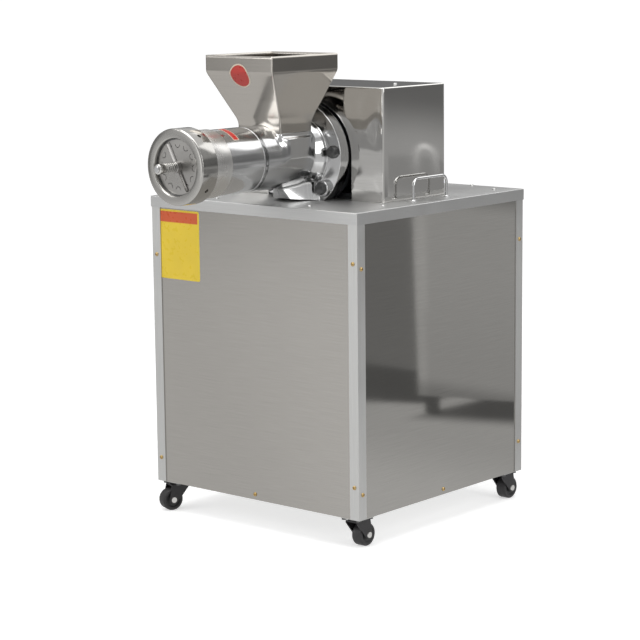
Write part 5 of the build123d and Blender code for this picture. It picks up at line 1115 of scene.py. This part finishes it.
CAB_Y = sum(point[1] for point in span("table_top")) / 2
POST_X, POST_Y, CABINET_FOOT = 298.5, 296.0, 68.0
drops = {"front": (132, 107), "right": (118, 114), "rear": (118, 118), "left": (118, 118)}
rises = {"front": (55, 71), "right": (55, 70), "rear": (60, 60), "left": (60, 60)}
outlook = {
    "front": ((0, -1, 0), (1, 0, 0), POST_X, POST_Y), "right": ((1, 0, 0), (0, 1, 0), POST_Y, POST_X),
    "rear": ((0, 1, 0), (-1, 0, 0), POST_X, POST_Y), "left": ((-1, 0, 0), (0, -1, 0), POST_Y, POST_X),
}
yellow_heads = []
for side, (towards, across, half, out) in outlook.items():
    towards, across = np.array(towards, float), np.array(across, float)
    u = half - 12.5
    spots = [(-u, TABLE_Z - drops[side][0], out), (u, TABLE_Z - drops[side][1], out),
             (-u, CABINET_FOOT + rises[side][0], out), (u, CABINET_FOOT + rises[side][1], out),
             (0, CABINET_FOOT + 12, out - 2.0)]
    yellow_heads += heads_on([across * s + towards * o + (0, CAB_Y, z) for s, z, o in spots], towards,
        0.4 + u)
table_insets = ((-1, ((166.0, 41.5), (39.0, 133.5))), (1, ((43.0, 55.5), (136.0, 13.5))))
table_spots = [
    (s * (300 - x), CAB_Y + e * (297.5 - y), TABLE_Z)
    for e, pair in table_insets for x, y in pair for s in (-1, 1)
]
cover_spots = [(AXIS_X + s * 147, cover_low[1] + 121, cover_high[2]) for s in (-1, 1)]
piece("panel_screws", yellow_heads, yellow_zinc.material, "machine", ["sheet_screws"])
piece("table_screws", heads_on(table_spots + cover_spots, (0, 0, 1), 0.2), plated.material, "machine",
    ["sheet_screws"])

# %% [markdown]
# ## Handle
# A round bar bent twice, with a turned collar at each foot. The bar is a circle carried along a path whose
# two bends are quarter circles.

# %% Handle
handle_low, handle_high = span("handle")
HANDLE_X = (handle_low[0] + handle_high[0]) / 2
BAR_R, BEND_R = 3.2, 17.0
foot_front, foot_back = handle_low[1] + 7.0, handle_high[1] - 7.0
bar_top = handle_high[2] - BAR_R
quarter_turn = np.linspace(0, np.pi / 2, 17)
rise = np.linspace(handle_low[2], bar_top - BEND_R, 12)[:-1]
flat = np.linspace(foot_front + BEND_R, foot_back - BEND_R, 10)[1:-1]
line = np.concatenate([
    np.stack([foot_front + 0 * rise, rise], 1),
    np.stack([
        foot_front + BEND_R * (1 - np.cos(quarter_turn)), bar_top - BEND_R * (1 - np.sin(quarter_turn))], 1),
    np.stack([flat, bar_top + 0 * flat], 1),
    np.stack([
        foot_back - BEND_R * (1 - np.sin(quarter_turn)), bar_top - BEND_R * (1 - np.cos(quarter_turn))], 1),
    np.stack([foot_back + 0 * rise, rise[::-1]], 1),
])
bar_path = np.stack([HANDLE_X + 0 * line[:, 0], line[:, 0], line[:, 1]], 1)
collar_line = rounded([(-0.5, 3.0), (-0.5, 6.9), (0.8, 6.9), (3.0, 5.6), (3.0, 3.0)], 0.4, 3)
collar = turned([(-y, r) for y, r in collar_line], (0, 0), 64)
collars = [
    placed(collar, (1, 0, 0), (0, 0, -1), (0, 1, 0), (HANDLE_X, y, TABLE_Z)) for y in (foot_front, foot_back)]
piece("handle_bar", [along(bar_path, BAR_R, 28), *collars], handle_steel.material, "machine", ["handle"])

# %% [markdown]
# ## Casters
# Each wheel is a hard tyre on a hub. Tyre and hub are profiles turned about the wheel's own axle, whose
# direction depends on how the caster happens to be swivelled.

# %% Wheels
def wheel_frame(corner, angle):
    """Direction of the axle, direction of the trail and centre of one wheel."""
    low, high = span("caster_wheel_" + corner)
    a = math.radians(angle)
    return (math.cos(a), math.sin(a), 0), (-math.sin(a), math.cos(a), 0), (low + high) / 2


tyre_line = rounded([(-11.0, 17.0), (-13.0, 17.6), (-13.0, 23.0), (-10.5, 25.0), (10.5, 25.0),
    (13.0, 23.0), (13.0, 17.6), (11.0, 17.0)],
                    (0.4, 0.4, 1.6, 3.0, 3.0, 1.6, 0.4, 0.4), 5, closed=True)
web_line = rounded([(-13.9, 4.1), (-13.9, 8.0), (-12.0, 8.4), (-10.2, 10.0), (-10.2, 15.6), (-12.0, 17.0),
    (-12.0, 17.6), (12.0, 17.6), (12.0, 17.0), (10.2, 15.6), (10.2, 10.0), (12.0, 8.4), (13.9, 8.0),
    (13.9, 4.1)], 0.5, 3, closed=True)
for corner, angle in (("front_left", 160), ("front_right", 0), ("rear_left", 12), ("rear_right", 0)):
    axle, trail, centre = wheel_frame(corner, angle)
    tyre = turned(tyre_line, (0, 0), 96, close_profile=True)
    web = turned(web_line, (0, 0), 72, close_profile=True)
    turn_to = (trail, tuple(-np.array(axle)), (0, 0, 1))
    piece("tyre_" + corner, [placed(tyre, *turn_to, centre)], tyre_rubber.material, "wheel_" + corner,
        ["caster_wheel_" + corner])
    piece("wheel_hub_" + corner, [placed(web, *turn_to, centre)], wheel_plastic.material,
        "wheel_" + corner, ["caster_wheel_" + corner])

# %% [markdown]
# ## Studio
# A pale floor under soft light, and a white surround. The floor adds a little light of its own for the
# camera and for reflections, so that it runs out into the white background and still keeps the shadow
# under the machine. Polished steel has no look of its own: it shows what stands round it. A workshop
# surround, seen by reflections alone, gives it the soft grey walls and the few dark and bright strips
# that a steel surface needs.

# %% White surround
def white_for_views(tree, dim, bright):
    """A value that is bright for what the camera, reflections and glass see, and dim for the light that
    falls on things."""
    rays = tree.nodes.new("ShaderNodeLightPath")
    total = rays.outputs["Is Camera Ray"]
    for ray in ("Is Glossy Ray", "Is Transmission Ray"):
        add = tree.nodes.new("ShaderNodeMath")
        add.operation = "ADD"
        add.use_clamp = True
        tree.links.new(total, add.inputs[0])
        tree.links.new(rays.outputs[ray], add.inputs[1])
        total = add.outputs[0]
    strength = tree.nodes.new("ShaderNodeMapRange")
    strength.inputs["To Min"].default_value = dim
    strength.inputs["To Max"].default_value = bright
    tree.links.new(total, strength.inputs["Value"])
    return strength.outputs["Result"]


world = bpy.data.worlds.new("studio_world")
bpy.context.scene.world = world
world.use_nodes = True
world.node_tree.nodes["Background"].inputs["Color"].default_value = (1.0, 1.0, 1.0, 1.0)
world.node_tree.links.new(white_for_views(world.node_tree, 0.45, 1.0),
    world.node_tree.nodes["Background"].inputs["Strength"])

floor_finish = bpy.data.materials.new("studio_floor")
floor_finish.use_nodes = True
floor_shader = floor_finish.node_tree.nodes["Principled BSDF"]
floor_shader.inputs["Base Color"].default_value = (0.80, 0.80, 0.80, 1.0)
floor_shader.inputs["Roughness"].default_value = 0.9
floor_shader.inputs["Specular IOR Level"].default_value = 0.1
floor_shader.inputs["Emission Color"].default_value = (1.0, 1.0, 1.0, 1.0)
far = floor_finish.node_tree.nodes.new("ShaderNodeVectorMath")
far.operation = "LENGTH"
floor_place = floor_finish.node_tree.nodes.new("ShaderNodeTexCoord")
floor_finish.node_tree.links.new(floor_place.outputs["Object"], far.inputs[0])
lift = floor_finish.node_tree.nodes.new("ShaderNodeMapRange")
for socket, value in (("From Min", 0.4), ("From Max", 3.5), ("To Min", 0.50), ("To Max", 0.66)):
    lift.inputs[socket].default_value = value
floor_finish.node_tree.links.new(far.outputs["Value"], lift.inputs["Value"])
glow = floor_finish.node_tree.nodes.new("ShaderNodeMath")
glow.operation = "MULTIPLY"
floor_finish.node_tree.links.new(lift.outputs["Result"], glow.inputs[0])
floor_finish.node_tree.links.new(white_for_views(floor_finish.node_tree, 0.0, 1.0), glow.inputs[1])
floor_finish.node_tree.links.new(glow.outputs[0], floor_shader.inputs["Emission Strength"])


def stage_piece(name, points, faces, finish):
    """Part of the studio, in metres, not of the machine."""
    mesh = bpy.data.meshes.new(name)
    mesh.from_pydata(points, [], faces)
    mesh.materials.append(finish)
    thing = bpy.data.objects.new(name, mesh)
    bpy.context.scene.collection.objects.link(thing)
    return thing


FLOOR_HALF = 60.0
corners = np.array([(-1, -1, 0), (1, -1, 0), (1, 1, 0), (-1, 1, 0)], float) * FLOOR_HALF
stage_piece("studio_floor", corners.tolist(), [(0, 1, 2, 3)], floor_finish)


# %% Workshop seen in the steel
def step(value, edge, soft):
    """0 before the edge, 1 after it, with a smooth change of the given width."""
    t = np.clip((value - edge) / soft + 0.5, 0, 1)
    return t * t * (3 - 2 * t)


def band(value, low, high, soft):
    return step(value, low, soft) * (1 - step(value, high, soft))


def wall_light(azimuth, z):
    """Brightness of the workshop's wall for a direction in degrees from +X and a height in metres."""
    light = 0.60 + 0.08 * np.sin(np.radians(3 * azimuth + 40)) + 0 * z
    for start, end, soft, low, middle, high in (
        (14, 62, 8, 0.40, 0.20, 0.46),
        (58, 86, 6, 0.40, 0.30, 0.50),
        (86, 110, 8, 0.35, 0.45, 0.75),
        (108, 165, 10, 0.30, 0.26, 0.75),
        (165, 192, 6, 0.10, 0.10, 0.30),
    ):
        sector = band(azimuth, start, end, soft)
        column = low + (middle - low) * step(z, 1.1, 0.3) + (high - middle) * step(z, 2.1, 0.5)
        light = light * (1 - sector) + sector * column
    front = band(azimuth, 198, 262, 12)
    column = 0.70 + 0.12 * step(azimuth, 229, 8) - 0.12 * step(z, 0.26, 0.06) + 0.24 * step(z, 2.1, 0.5)
    light = light * (1 - front) + front * column
    light = light + 1.6 * band(azimuth, 54, 92, 6) * band(z, 2.7, 4.9, 0.3)
    light = light + 1.2 * band(azimuth, 90, 116, 5) * band(z, 3.0, 4.9, 0.3)
    light = light * (1 - 0.35 * band(azimuth, 118, 136, 4) * band(z, 0.7, 1.8, 0.2))
    light = light + 2.4 * band(azimuth, 254, 268, 4) * band(z, 1.0, 1.9, 0.15)
    window = band(azimuth, 236, 247, 2) * band(z, 0.36, 1.7, 0.10)
    window = window + 0.6 * band(azimuth, 246, 249, 2) * band(z, 0.5, 2.4, 0.2)
    post = band(azimuth, 223, 227.2, 1.2) * band(z, 0.34, 1.5, 0.08)
    return light + 1.1 * window - 0.40 * post


def ground_light(x, y):
    """Brightness of the workshop's floor: pale near the machine, dark in the shadow behind it on the
    right."""
    light = (0.80 - 0.16 * step(y, 0.55, 0.6)) * (1 + 0.16 * step(x - y, 0.35, 0.6) * step(-y, 0.2, 0.3))
    under = step(-x, -1.035, 0.03) * step(y + 0.37 * (x - 0.994), 1.00, 0.16) * step(x, 0.0, 0.4)
    beside = band(x, 1.12, 1.95, 0.03) * band(y + 0.53 * (x - 1.272), 1.055, 2.0, 0.05)
    shadow = np.maximum(under, beside)
    left = band(np.degrees(np.arctan2(y, x)) % 360, 182, 208, 8) * step(np.hypot(x, y), 1.2, 0.4)
    return light * (1 - shadow) * (1 - 0.5 * left) + 0.15 * shadow


WALL_R, WALL_H = 4.2, 5.0
around = np.linspace(0, 2 * np.pi, 361)[:-1]
heights = np.linspace(0.004, WALL_H, 80)
wall_grid = np.stack([
    WALL_R * np.cos(around)[:, None] + 0 * heights, WALL_R * np.sin(around)[:, None] + 0 * heights,
    heights + 0 * around[:, None]], -1)
rings = np.linspace(0.01, WALL_R, 160)
ground_grid = np.stack([np.cos(around)[:, None] * rings, np.sin(around)[:, None] * rings,
    0.003 + 0 * rings * around[:, None]], -1)


def glow_piece(name, grid, light, closed=False):
    """A part of the workshop that shows in reflections only, with its brightness kept on its points."""
    rows, columns = grid.shape[:2]
    finish = bpy.data.materials.new(name)
    finish.use_nodes = True
    finish.node_tree.nodes.clear()
    shade = finish.node_tree.nodes.new("ShaderNodeAttribute")
    shade.attribute_name = "light"
    glow = finish.node_tree.nodes.new("ShaderNodeEmission")
    end = finish.node_tree.nodes.new("ShaderNodeOutputMaterial")
    finish.node_tree.links.new(shade.outputs["Fac"], glow.inputs["Strength"])
    finish.node_tree.links.new(glow.outputs["Emission"], end.inputs["Surface"])
    thing = stage_piece(name, grid.reshape(-1, 3).tolist(),
        grid_faces(rows, columns, closed, False).tolist(), finish)
    values = thing.data.attributes.new("light", "FLOAT", "POINT")
    values.data.foreach_set("value", np.clip(light, 0.02, 2.0).reshape(-1).astype(np.float32))
    thing.visible_camera = thing.visible_diffuse = thing.visible_shadow = thing.visible_transmission = False


def upright_card(x_from, x_to, y, z_from, z_to):
    """Points of an upright card that faces the machine's rear."""
    x, z = np.meshgrid(np.linspace(x_from, x_to, 60), np.linspace(z_from, z_to, 60), indexing="ij")
    return np.stack([x, y + 0 * x, z], -1)


back_card = upright_card(0.96, 3.6, 1.5, 0.004, 1.05)
height = back_card[..., 2]
back_light = 0.27 + 0.14 * band(height, 0.56, 0.74, 0.10) - 0.10 * step(height, 0.80, 0.08)
neighbour = upright_card(0.25, 0.98, 0.93, 0.078, 0.72)
neighbour[..., 0] += 0.018 * step(neighbour[..., 2], 0.35, 0.5)
neighbour[..., 2] += (0.72 - neighbour[..., 2]) / 0.642 * 0.072 * (0.98 - neighbour[..., 0])
neighbour_light = 0.58 + 0.09 * step(neighbour[..., 0], 0.950, 0.004)
neighbour_light = neighbour_light - 0.05 * step(-neighbour[..., 2], -0.3, 0.3)
neighbour_light = neighbour_light * (1 - 0.45 * step(neighbour[..., 2], 0.61, 0.06)) * (
    1 - 0.35 * step(-neighbour[..., 2], -0.115, 0.05))
along_arch = np.linspace(0, 1, 60)[:, None]
across_arch = np.linspace(-1, 1, 13)
arch_turn = np.pi * along_arch
arch_r = 0.030 + 0.012 * across_arch
arch_card = np.stack([0.790 + np.cos(arch_turn) * arch_r, 0.90 + 0 * arch_turn * arch_r,
                      0.722 + np.sin(arch_turn) * arch_r - 0.05 * np.abs(2 * along_arch - 1) ** 8], -1)
arch_light = 0.30 + 0.85 * np.exp(-((across_arch / 0.5) ** 2)) * np.sin(np.pi * along_arch) ** 0.5
wheel = upright_card(0.922, 0.972, 0.95, 0.027, 0.082)
glow_piece("workshop_back", back_card, back_light)
glow_piece("workshop_neighbour", neighbour, neighbour_light)
glow_piece("workshop_arch", arch_card, arch_light)
glow_piece("workshop_wheel", wheel, 0.14 + 0 * wheel[..., 0])
glow_piece("workshop_wall", wall_grid,
    wall_light(np.degrees(around)[:, None] + 0 * heights, wall_grid[..., 2]), closed=True)
glow_piece("workshop_ground", ground_grid, ground_light(ground_grid[..., 0], ground_grid[..., 1]),
    closed=True)

# %% Lamps
def lamp(name, place, aim, width, height, watts):
    """A soft rectangular lamp at a place, looking at aim."""
    data = bpy.data.lights.new(name, "AREA")
    data.shape = "RECTANGLE"
    data.size, data.size_y, data.energy = width, height, watts
    thing = bpy.data.objects.new(name, data)
    thing.location = place
    back = np.array(place, float) - aim
    thing.rotation_mode = "QUATERNION"
    thing.rotation_quaternion = Vector(back).to_track_quat("Z", "Y")
    bpy.context.scene.collection.objects.link(thing)


lamp("overhead", (0.2, -0.4, 3.2), (0.0, 0.1, 0.6), 3.0, 2.4, 60.0)
lamp("key_left", (-1.7, -3.0, 2.5), (0.0, 0.0, 0.6), 1.6, 1.8, 30.0)
lamp("fill_right", (3.2, 0.2, 1.8), (0.0, 0.1, 0.5), 1.4, 1.8, 28.0)

# %% [markdown]
# ## Camera
# A long lens from the front right, a little above the table, level but for a hair of roll.

# %% Camera
CAMERA_PLACE = (3.07069, -3.51164, 1.23231)
CAMERA_TURN = 40.59
CAMERA_RISE = 9.54
CAMERA_ROLL = -0.60
LENS = 119.39
a, e, r = (math.radians(v) for v in (CAMERA_TURN, CAMERA_RISE, CAMERA_ROLL))
back = np.array([math.sin(a) * math.cos(e), -math.cos(a) * math.cos(e), math.sin(e)])
right = np.array([math.cos(a), math.sin(a), 0.0])
up = np.cross(back, right)
right, up = right * math.cos(r) + up * math.sin(r), up * math.cos(r) - right * math.sin(r)
camera_data = bpy.data.cameras.new("camera")
camera_data.lens = LENS
camera_data.sensor_width = 36.0
camera_data.clip_end = 100.0
camera = bpy.data.objects.new("camera", camera_data)
turn = np.eye(4)
turn[:3, 0], turn[:3, 1], turn[:3, 2], turn[:3, 3] = right, up, back, CAMERA_PLACE
camera.matrix_world = Matrix(turn.tolist())
bpy.context.scene.collection.objects.link(camera)
bpy.context.scene.camera = camera
bpy.context.scene.view_settings.view_transform = "Standard"
